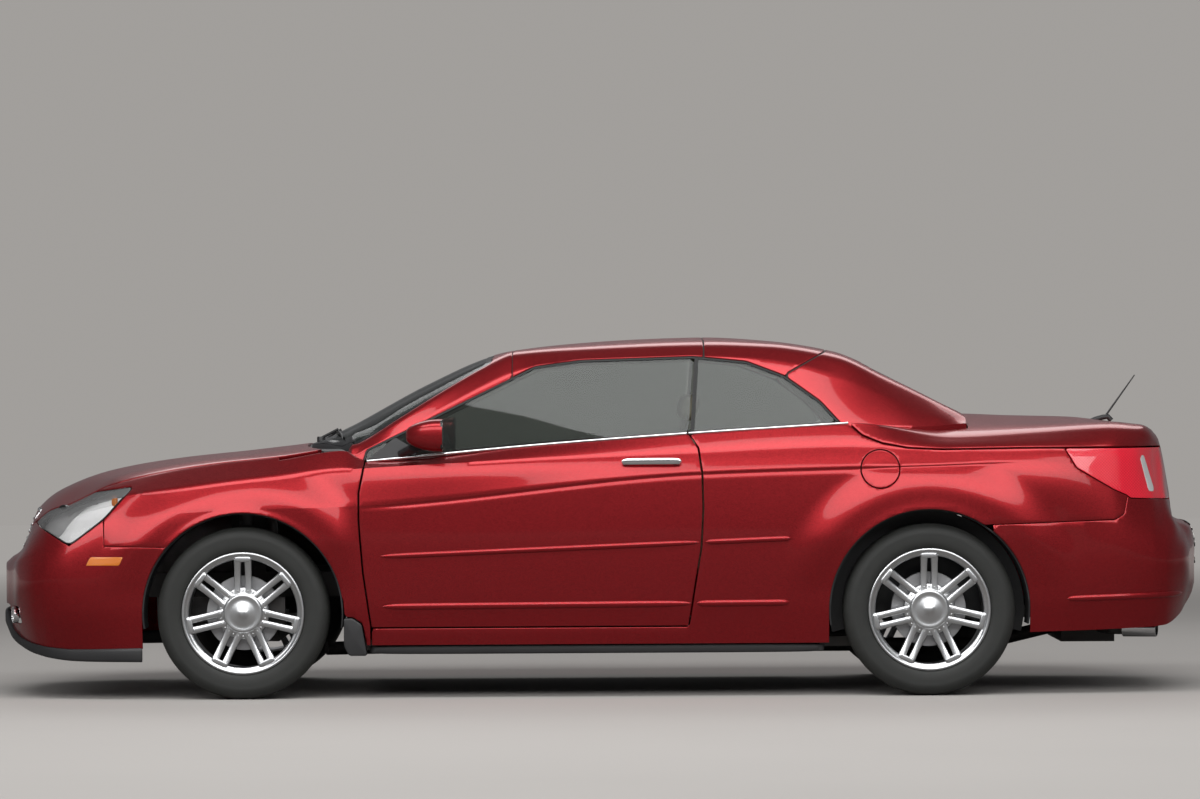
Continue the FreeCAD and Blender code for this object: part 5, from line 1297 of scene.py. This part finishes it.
postStrip = both(windowArea, aboveBelt, postStrip)
cutPanel("windowSeal", sealPatch, sealRing, sealRubber, 9, 1.0, -1.0, make=pair)
cutPanel("postSeal", cabinLeft, postStrip, sealRubber, 8, 1.0, -1.0, make=pair)

print("glass ready")

# wipers: two blades on the glass, each with an arm and its round foot
wiperLook = {"blades": (((-1046, -620), (-1108, -60)), ((-1126, 20), (-1062, 560))),
             "arms": (((-1150, -330), (-1078, -340)), ((-1158, 300), (-1096, 290))), "lift": 9}


def screenHeight(x, y):
    # height of the cabin's surface over a point
    return topHeight(x, y, cabinLines, cabinCreases, cabinSpans)


def wiperBlade(start, end):
    # section carried along a straight line seen from above, a little over the glass
    s = np.linspace(0, 1, 40)
    x, y = (first + (last - first) * s for first, last in zip(start, end))
    path = np.stack([x, y, screenHeight(x, y) + wiperLook["lift"]], 1)
    return swept(path, roundSection(9, 11, 3.0), scale=np.clip(1 - np.abs(2 * s - 1)**10, 0.2, 1))


wipers = [wiperBlade(*blade) for blade in wiperLook["blades"]]
footProfile = [(0.01, -12), (14, -12), (16, -8), (16, 10), (0.01, 10)]
for (x0, y0), (x1, y1) in wiperLook["arms"]:
    z0, z1 = screenHeight([x0, x1], [y0, y1])
    wipers.append(swept(np.linspace((x0, y0, z0 + 12), (x1, y1, z1 + 20), 8), roundSection(16, 10, 3.0)))
    wipers.append(placed(turned(footProfile, 24, closed=False), (x0, y0, z0 + 6),
                         ((1, 0, 0), (0, 0, -1), (0, 1, 0))))
addPiece("wipers", joined(*wipers), blackPlastic)

# antenna on the lid, blank number plate and exhaust tips
antennaFoot = swept([(2062, 0, 1099), (2080, 0, 1106), (2110, 0, 1114), (2130, 0, 1116), (2144, 0, 1100)],
                    roundSection(34, 22, 2.6, 20))
mast = swept(np.linspace((2118, 0, 1116), (2243, 0, 1290), 12), roundSection(9, 9), up=(0, 1, 0),
             scale=np.linspace(1, 0.55, 12))
addPiece("antenna", joined(antennaFoot, mast), blackPlastic, "trunk_lid")
cutPanel("plateBlank", bodyWhole, shrunk(plateHole, 2), plateWhite, 3, 1.0, 5.0)
cutPanel("plateFrame", bodyWhole, both(shrunk(plateHole, -12), outside(plateHole)), blackPlastic, 6, 1.5, 5.0)
tipProfile = [(34, -70), (36, -66), (36, 68), (33, 70), (31, 68), (31, -70)]
pair("exhaustTip", placed(turned(tipProfile, 48), **facing((2208, -503, 252), (165, -50, 0))), chrome,
     slot="exhaust_steel")

# black lower trim, mud guards and rear wheel housings
lipLook = {"drop": [(-2469, 60), (-2440, 26), (-2400, 26), (-2300, 32), (-2100, 42), (-1850, 50)],
           "thickness": 26, "overlap": 8, "inset": 4}


def lipPiece():
    # lip under the nose: rings across a flattened section follow the sill line, sunk and bowed like it
    x = np.concatenate([np.linspace(-1848, -2420, 60), np.linspace(-2424, -2462, 14)])
    sill = smoothAlong(bodyLines[0], x)
    drop = smoothAlong(lipLook["drop"], x)[:, 0]
    left = bowed(np.stack([x, lipLook["inset"] - sill[:, 1], sill[:, 0] - drop / 2], 1))
    middle = bowed(np.stack([x[-1] + np.linspace(0, -4, 13), np.linspace(left[-1, 1], 0, 15)[1:-1],
                             np.full(13, left[-1, 2])], 1))
    path = np.concatenate([left, middle])
    path = np.concatenate([path, path[::-1] * (1, -1, 1)])
    height = np.concatenate([drop, np.full(13, drop[-1])])
    height = np.concatenate([height, height[::-1]]) + lipLook["overlap"]
    side = np.cross(np.gradient(path, axis=0), (0, 0, 1.0))
    side /= np.linalg.norm(side, axis=1, keepdims=True)
    section = roundSection(1, 1, 4.0, 18)
    grid = path[:, None] + side[:, None] * section[None, :, :1] * lipLook["thickness"]
    grid[..., 2] += section[None, :, 1] * height[:, None]
    return closedGrid(grid)


addPiece("frontLip", lipPiece(), blackPlastic, node="lower_trim")
guardOutline = [(-1033, 325), (-998, 325), (-962, 300), (-940, 174), (-1012, 174), (-1033, 215)]
guard = acrossCar(guardOutline, 47, 10, 0, -848)
strip = softBox((1838, 84, 38), 8.0, 12, 90, (-14.5, -806, 196))
for name, mesh in (("mudGuard", guard), ("sillStrip", strip)):
    pair(name, mesh, blackPlastic, nodes=("lower_trim", "lower_trim"), sharp=45)
housingLook = {"from": 92, "to": 396, "at": 658, "ripple": 6, "wall": 4}
angle = np.linspace(-0.25, math.pi + 0.25, 60)[None]
reach = np.linspace(housingLook["from"], housingLook["to"], 14)[:, None]
across = -housingLook["at"] - housingLook["ripple"] * np.sin(reach / 40)**2 * np.ones_like(angle)
housing = np.stack([rearAxle + reach * np.cos(angle), across, hubHeight + reach * np.sin(angle)], -1)
pair("rearHousing", thickened(*patchOf(housing), housingLook["wall"]), blackPlastic)
print("trim ready")

# engine: one plain block with a ribbed cover
engineLook = {"cover": 60, "share": (0.86, 0.62), "ribs": 7, "ribSpread": 0.36, "ribLength": 0.38}
engineLow, engineHigh = (np.array(corner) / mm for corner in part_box("engine_block"))
engineSize, engineMiddle = engineHigh - engineLow, (engineHigh + engineLow) / 2
coverSize = np.array([*engineSize[:2] * engineLook["share"], engineLook["cover"]])
blockSize = engineSize - (0, 0, engineLook["cover"] - 14)
blockMiddle = engineMiddle - (0, 0, (engineSize - blockSize)[2] / 2)
coverMiddle = engineMiddle + (0, 0, (engineSize[2] - engineLook["cover"]) / 2 - 5)
addPiece("engineBlock", softBox(blockSize, 9.0, 24, 60, blockMiddle), engineMetal, node="engine_block")
addPiece("engineCover", softBox(coverSize, 5.0, 24, 60, coverMiddle), blackPlastic)
along = np.linspace(-1, 1, 16) * engineLook["ribLength"] * coverSize[0]
ribs = []
for across in np.linspace(-1, 1, engineLook["ribs"]) * engineLook["ribSpread"] * coverSize[1]:
    path = np.stack([engineMiddle[0] + along, np.full(16, engineMiddle[1] + across),
                     np.full(16, engineHigh[2] - 6.0)], 1)
    ribs.append(swept(path, roundSection(12, 10, 3.0)))
addPiece("engineRibs", joined(*ribs), blackPlastic)

# cabin: padded seats; sizes are length, width and height, then the crown and the side bolsters
seatLook = {"apart": 370, "recline": 19, "rearApart": 285, "pressure": 4.0, "frames": 20, "voxel": 0.015,
            "headVoxel": 0.009, "cap": 0.024}


def padShape(size, crown, bolster, rows=28, columns=56):
    # rounded slab; its top rises to a crown with bolsters at the sides, and its sides pull in between corners
    points, faces = softBox((1, 1, 1), 5.0, rows, columns)
    x, y, z = points.T
    top = np.clip(z * 2, 0, 1)
    rise = crown * (1 - (2 * x)**2) * (1 - (2 * y)**4) - crown * 0.3
    sides = bolster * np.exp(-((np.abs(y) - 0.40) / 0.10)**2) * (1 - 0.4 * (2 * x)**2)
    pull = 1 - 0.03 * (1 - (2 * x)**2)
    return np.stack([x * size[0] * (1 - 0.025 * (1 - (2 * y)**2)), y * size[1] * pull,
                     z * size[2] + top * (rise + sides)], 1), faces


def applied(piece):
    # replaces a piece's mesh by what its modifiers make of it
    made = bpy.data.meshes.new_from_object(piece.evaluated_get(bpy.context.evaluated_depsgraph_get()))
    materials = [slot.material for slot in piece.material_slots]
    piece.modifiers.clear()
    piece.data = made
    if not len(made.materials):
        for material in materials:
            made.materials.append(material)
    made.shade_smooth()


def pointsOf(piece):
    # a mesh's points as rows of x, y and z
    places = np.empty(len(piece.data.vertices) * 3, np.float32)
    piece.data.vertices.foreach_get("co", places)
    return places.reshape(-1, 3)


def stuffed(name, mesh, material, node):
    # padded piece: remeshed, blown up as cloth with its movement capped, then smoothed once
    piece = addPiece(name, mesh, material, node=node, sharp=0)
    remesh = piece.modifiers.new("remesh", "REMESH")
    remesh.mode = "VOXEL"
    remesh.voxel_size = seatLook["headVoxel" if name.startswith("head") else "voxel"]
    applied(piece)
    start = pointsOf(piece)
    cloth = piece.modifiers.new("cloth", "CLOTH")
    cloth.settings.use_pressure = True
    cloth.settings.uniform_pressure_force = seatLook["pressure"]
    cloth.settings.effector_weights.gravity = 0
    cloth.point_cache.frame_start, cloth.point_cache.frame_end = 1, seatLook["frames"]
    for step in range(1, seatLook["frames"] + 1):
        bpy.context.scene.frame_set(step)
        bpy.context.view_layer.update()
    applied(piece)
    move = pointsOf(piece) - start
    reach = np.linalg.norm(move, axis=1, keepdims=True)
    cap = seatLook["cap"]
    end = start + move * (cap * np.tanh(reach / cap) / np.maximum(reach, 1e-9))
    piece.data.vertices.foreach_set("co", end.astype(np.float32).ravel())
    piece.data.update()
    smooth = piece.modifiers.new("subdivision", "SUBSURF")
    smooth.levels = smooth.render_levels = 1
    piece.data.shade_smooth()
    bpy.context.scene.frame_set(1)


def leaning(origin, degrees):
    # axes of a slab that stands on the floor plane and leans back: its top faces forwards
    a = math.radians(degrees)
    up = (math.sin(a), 0, math.cos(a))
    return {"origin": origin, "axes": (up, (0, -1, 0), (-math.cos(a), 0, math.sin(a)))}


cushionTilt = ((0.995, 0, -0.10), (0, 1, 0), (0.10, 0, 0.995))
for side, label in ((-1, "Left"), (1, "Right")):
    y = side * seatLook["apart"]
    cushion = placed(padShape((500, 455, 118), 16, 24), (-88, y, 492), cushionTilt)
    back = placed(padShape((530, 440, 120), 12, 26), **leaning((240, y, 800), seatLook["recline"]))
    rest = placed(padShape((104, 222, 66), 10, 0, 20, 36), **leaning((372, y, 1165), 12))
    rearPlace = leaning((955, side * seatLook["rearApart"], 760), 17)
    rearBack = placed(padShape((430, 540, 110), 14, 16), **rearPlace)
    stuffed("seatCushion" + label, cushion, channelled, "front_seats")
    stuffed("seatBack" + label, back, channelled, "front_seats")
    stuffed("headRest" + label, rest, cream, "front_seats")
    stuffed("rearBack" + label, rearBack, channelled, "rear_seat")
stuffed("rearCushion", placed(padShape((400, 1090, 120), 14, 0), (700, 0, 470)), channelled, "rear_seat")

seatMiddle = -seatLook["apart"]
shellPlace = leaning((292, seatMiddle, 792), seatLook["recline"])
rearShell = placed(softBox((520, 420, 60), 6.0, 20, 40), **shellPlace)
for name, mesh, material in (
        ("seatPlinth", softBox((440, 420, 190), 7.0, 20, 40, (-90, seatMiddle, 330)), darkTrim),
        ("seatRearShell", rearShell, creamTrim),
        ("seatHinge", softBox((120, 450, 110), 4.0, 16, 32, (135, seatMiddle, 465)), darkTrim)):
    pair(name, mesh, material, nodes=("front_seats", "front_seats"))
posts = [swept(np.linspace((338, y, 1050), (366, y, 1150), 6), roundSection(12, 12))
         for y in (seatMiddle - 45, seatMiddle + 45)]
pair("headRestPosts", joined(*posts), chrome)
addPiece("rearPlinth", softBox((420, 1100, 170), 8.0, 20, 40, (720, 0, 330)), darkTrim, node="rear_seat")

# dashboard, console and their small pieces; outlines are x and z, then half width, corner, bow and middle
dashLook = {
    "dashPanel": ([(-966, 640), (-966, 925), (-880, 942), (-760, 934), (-712, 900), (-700, 800),
                   (-770, 650)], 655, 26, -30, 0),
    "centreConsole": ([(-840, 655), (-840, 296), (196, 296), (180, 512), (-200, 522), (-290, 455),
                       (-640, 470), (-740, 655)], 92, 22, 0, 0),
    "binnacle": ([(-850, 900), (-860, 948), (-760, 958), (-696, 944), (-700, 905)], 130, 16, 0, -370)}
for name, (outline, halfWidth, corner, bow, middle) in dashLook.items():
    addPiece(name, acrossCar(outline, halfWidth, corner, bow, middle), darkTrim, node="dashboard", sharp=45)
addPiece("dashStrip", softBox((6, 1180, 46), 6.0, 12, 48, (-706, 0, 838)), creamTrim)
vents = [softBox((14, 120, 52), 6.0, 12, 32, (-708, y, 880)) for y in (-590, -160, 160, 590)]
addPiece("dashVents", joined(*vents, softBox((12, 190, 110), 7.0, 12, 32, (-712, 0, 770))), glossBlack)
dial = turned([(0.01, -4), (36, -4), (40, -8), (44, -4), (44, 4), (0.01, 4)], 40, closed=False)
dials = [placed(dial, **facing((-694, y, 926), (1, 0, 0.2))) for y in (-420, -320)]
addPiece("instruments", joined(*dials), chrome)
knob = softBox((44, 48, 60), 2.4, 14, 24, (-414, 0, 580))
lever = swept(np.linspace((-400, 0, 440), (-414, 0, 565), 6), roundSection(18, 18))
addPiece("gearLever", joined(knob, lever, softBox((120, 90, 20), 4.0, 10, 28, (-400, 0, 462))), glossBlack)

# steering wheel on its column
steerLook = {"tilt": 25, "middle": (-560.0, -370.0, 880.0), "radius": 188, "rim": (27, 31),
             "spokes": (0, 180, 235, 305), "columnFrom": 215, "columnTo": 34}
tilt = math.radians(steerLook["tilt"])
columnDirection = np.array((math.cos(tilt), 0, math.sin(tilt)))
wheelMiddle = np.array(steerLook["middle"])
columnEnds = [wheelMiddle - columnDirection * steerLook[end] for end in ("columnFrom", "columnTo")]
column = swept(np.linspace(*columnEnds, 6), roundSection(78, 70, 3.0, 24), up=(0, 1, 0))
addPiece("steeringColumn", column, darkTrim, node="dashboard")
angle = np.linspace(0, 2 * math.pi, 72, endpoint=False)[:, None]
section = roundSection(*steerLook["rim"], 2.4, 14)
radius = steerLook["radius"] + section[None, :, 0]
across = np.broadcast_to(section[None, :, 1], (72, 14))
ring = np.stack([radius * np.cos(angle), across, radius * np.sin(angle)], -1)
ring = closedGrid(np.concatenate([ring, ring[:1]]), capEnds=False)
spokes = []
for degrees in steerLook["spokes"]:
    c, s = math.cos(math.radians(degrees)), math.sin(math.radians(degrees))
    path = np.linspace((40 * c, 6, 40 * s), (184 * c, 0, 184 * s), 10)
    spokes.append(swept(path, roundSection(14, 40, 3.0, 16), up=(-s, 0, c), scale=np.linspace(1.2, 0.8, 10)))
hub = joined(softBox((140, 44, 130), 3.0, 20, 40, (0, 6, -6)), *spokes)
steerPlace = facing(wheelMiddle, columnDirection)
addPiece("steeringRing", placed(ring, **steerPlace), glossBlack, "steering_wheel", "steering_wheel",
         slot="cabin_plastic")
addPiece("steeringHub", placed(hub, **steerPlace), darkTrim, "steering_wheel", "steering_wheel")

# door cards with arm rests and pulls, side trim, carpet and headliner
cardLook = {"outline": [(-905, 330), (-935, 700), (-925, 905), (-300, 955), (330, 990), (360, 900),
                        (375, 700), (330, 330)],
            "corner": 40, "at": 771, "bulge": 4, "bulgeAt": 640, "thickness": 5, "keep": 0.4}


def cardPiece():
    # upright plane with a bell-shaped bulge along it, cut to its outline and facing the cabin
    x, z = np.meshgrid(np.linspace(-950, 400, 90), np.linspace(310, 1010, 50))
    bulge = cardLook["bulge"] * np.exp(-((z - cardLook["bulgeAt"]) / 60)**2)
    patch = patchOf(np.stack([x, bulge - cardLook["at"], z], -1))
    points, faces = splitPatch(*patch, fromSide(cardLook["outline"], cardLook["corner"]))
    corner = points[faces][:, :, :3]
    up = np.cross(corner[:, 1] - corner[:, 0], corner[:, 2] - corner[:, 0])[:, 1]
    faces = np.where((up < 0)[:, None], faces[:, ::-1], faces)
    points = np.concatenate([points[:, :3], np.tile((0, 1.0, 0), (len(points), 1))], 1)
    return thickened(points, faces, cardLook["thickness"])


pair("doorCard", cardPiece(), creamTrim, doorSides, keep=cardLook["keep"])
s = np.linspace(-1, 1, 24)
armRest = np.stack([np.linspace(-560, 120, 24), np.full(24, -742.0), 640 + 14 * s], 1)
pull = np.stack([np.linspace(-620, -420, 14), -752 + 6 * np.sin(np.linspace(0, math.pi, 14)),
                 np.full(14, 760.0)], 1)
armRest = swept(armRest, roundSection(54, 58, 3.4, 20), scale=np.clip(1 - np.abs(s)**8, 0.25, 1))
pair("doorArmRest", armRest, darkTrim, doorSides)
pair("doorPull", swept(pull, roundSection(14, 30, 3.0)), chrome, doorSides)
pair("rearSideTrim", softBox((490, 16, 700), 9.0, 24, 48, (667, -748, 640)), creamTrim)
pair("carpetHalf", softBox((1400, 556, 8), 12.0, 12, 60, (-225, -400, 235)), carpet)
liningArea = both(either(frameArea, *[shrunk(area, 6) for area in roofAreas.values()]), within(z0=1100))
cutPanel("headliner", cabinWhole, liningArea, headliner, 2.5, 0, -panelLook["roofDepth"] - 1)
print("cabin ready")

# the solids that stay shown get their materials here
shown = {"floor_pan": underbody, "suspension_arms": chassisSteel, "knuckle_left": chassisSteel,
         "knuckle_right": chassisSteel, "engine_block": engineMetal, "exhaust": chassisSteel,
         "wheel_arch_liners": blackPlastic, "lower_trim": blackPlastic, "grille": chrome}
for part in frame["record"]["subparts"]:
    solid = frame["nodes"][part["node"]]
    solid.data.materials.clear()
    solid.data.materials.append(shown.get(part["node"]) or finishes[part["material_slot"]][0])

# studio: pale floor and backdrop, large soft lights, a long lens
# the mirrored colour is a painted shade: the floor's colour as the car's glossy surfaces reflect it
studio = {"floor": (0.46, 0.44, 0.42), "backdrop": (0.36, 0.345, 0.33), "mirrored": (0.03, 0.029, 0.028),
          "floorHalf": 30.0, "fadeFrom": 7.0, "fadeTo": 16.0, "sky": (0.78, 0.78, 0.80), "skyStrength": 0.20}
lightLook = {    # place, what it looks at, size in metres, power in watts
    "key": ((0.0, -3.6, 6.5), (0, 0, 0.6), (10, 2.6), 400.0),
    "side": ((-1.0, -12.0, 6.4), (0, 0, 0.6), (22, 4.6), 1380.0),
    "back": ((0.5, 6.0, 6.0), (0, 0, 0.8), (9, 3), 170.0)}
cameraLook = {"place": (0.003, -22.4, 1.20), "lens": 160.4, "pitch": 90, "turn": -0.34, "reach": 200}


def studioFloor():
    # pale near the car, but mostly near black where the car's gloss reflects it, a painted shade; far away it
    # shines like the backdrop, so no horizon shows
    s = Surface("studio floor", Roughness=0.8, Emission_Strength=1.0, Specular_IOR_Level=0.1)
    x, y, z = s.axes()
    pale = s.blend(s.noise(0.6, 3.0), studio["floor"], tuple(c * 0.94 for c in studio["floor"]))
    glossy = Value(s.add("LightPath").outputs["Is Glossy Ray"], s.tree)
    far = (x * x + y * y).maths("SQRT").rises(studio["fadeFrom"], studio["fadeTo"])
    # painted shade: glossy rays see the floor blended most of the way to the near-black mirrored colour
    near = s.blend(glossy * 0.65, pale, studio["mirrored"])
    s.set("Base_Color", s.blend(far, near, (0, 0, 0)))
    s.set("Emission_Color", s.blend(far, (0, 0, 0), studio["backdrop"]))
    half = studio["floorHalf"]
    data = bpy.data.meshes.new("studioFloor")
    corners = [(-half, -half, 0), (half, -half, 0), (half, half, 0), (-half, half, 0)]
    data.from_pydata(corners, [], [(0, 1, 2, 3)])
    data.materials.append(s.material)
    floor = bpy.data.objects.new("studioFloor", data)
    bpy.context.scene.collection.objects.link(floor)


def studioLight(name, place, target, size, energy):
    # soft rectangle turned by yaw and pitch to look at its target
    data = bpy.data.lights.new(name, "AREA")
    data.shape, data.size, data.size_y, data.energy = "RECTANGLE", size[0], size[1], energy
    light = bpy.data.objects.new(name, data)
    light.location = place
    direction = np.array(target, float) - place
    yaw = math.atan2(direction[1], direction[0])
    pitch = math.atan2(-direction[2], math.hypot(direction[0], direction[1]))
    light.rotation_euler = (math.pi / 2 - pitch, 0, yaw - math.pi / 2)
    bpy.context.scene.collection.objects.link(light)


def studioWorld():
    # the camera sees the pale backdrop; all other rays get a soft sky
    world = bpy.data.worlds.new("studio")
    world.use_nodes = True
    tree = world.node_tree
    sky = tree.nodes["Background"]
    sky.inputs["Color"].default_value = (*studio["sky"], 1)
    sky.inputs["Strength"].default_value = studio["skyStrength"]
    backdrop = addNode(tree, "Background", Color=studio["backdrop"])
    rays = addNode(tree, "LightPath")
    mix = addNode(tree, "MixShader", i0=rays.outputs["Is Camera Ray"], i1=sky.outputs[0],
                  i2=backdrop.outputs[0])
    joinSocket(tree, tree.nodes["World Output"].inputs[0], mix.outputs[0])
    bpy.context.scene.world = world


studioFloor()
for name, look in lightLook.items():
    studioLight(name, *look)
studioWorld()
cameraData = bpy.data.cameras.new("camera")
cameraData.lens, cameraData.clip_end = cameraLook["lens"], cameraLook["reach"]
camera = bpy.data.objects.new("camera", cameraData)
camera.location = cameraLook["place"]
camera.rotation_euler = (math.radians(cameraLook["pitch"]), 0, 0)
camera.rotation_euler.rotate_axis("Z", math.radians(cameraLook["turn"]))
bpy.context.scene.collection.objects.link(camera)
bpy.context.scene.camera = camera
bpy.context.scene.view_settings.view_transform = "Standard"
print("stage ready")
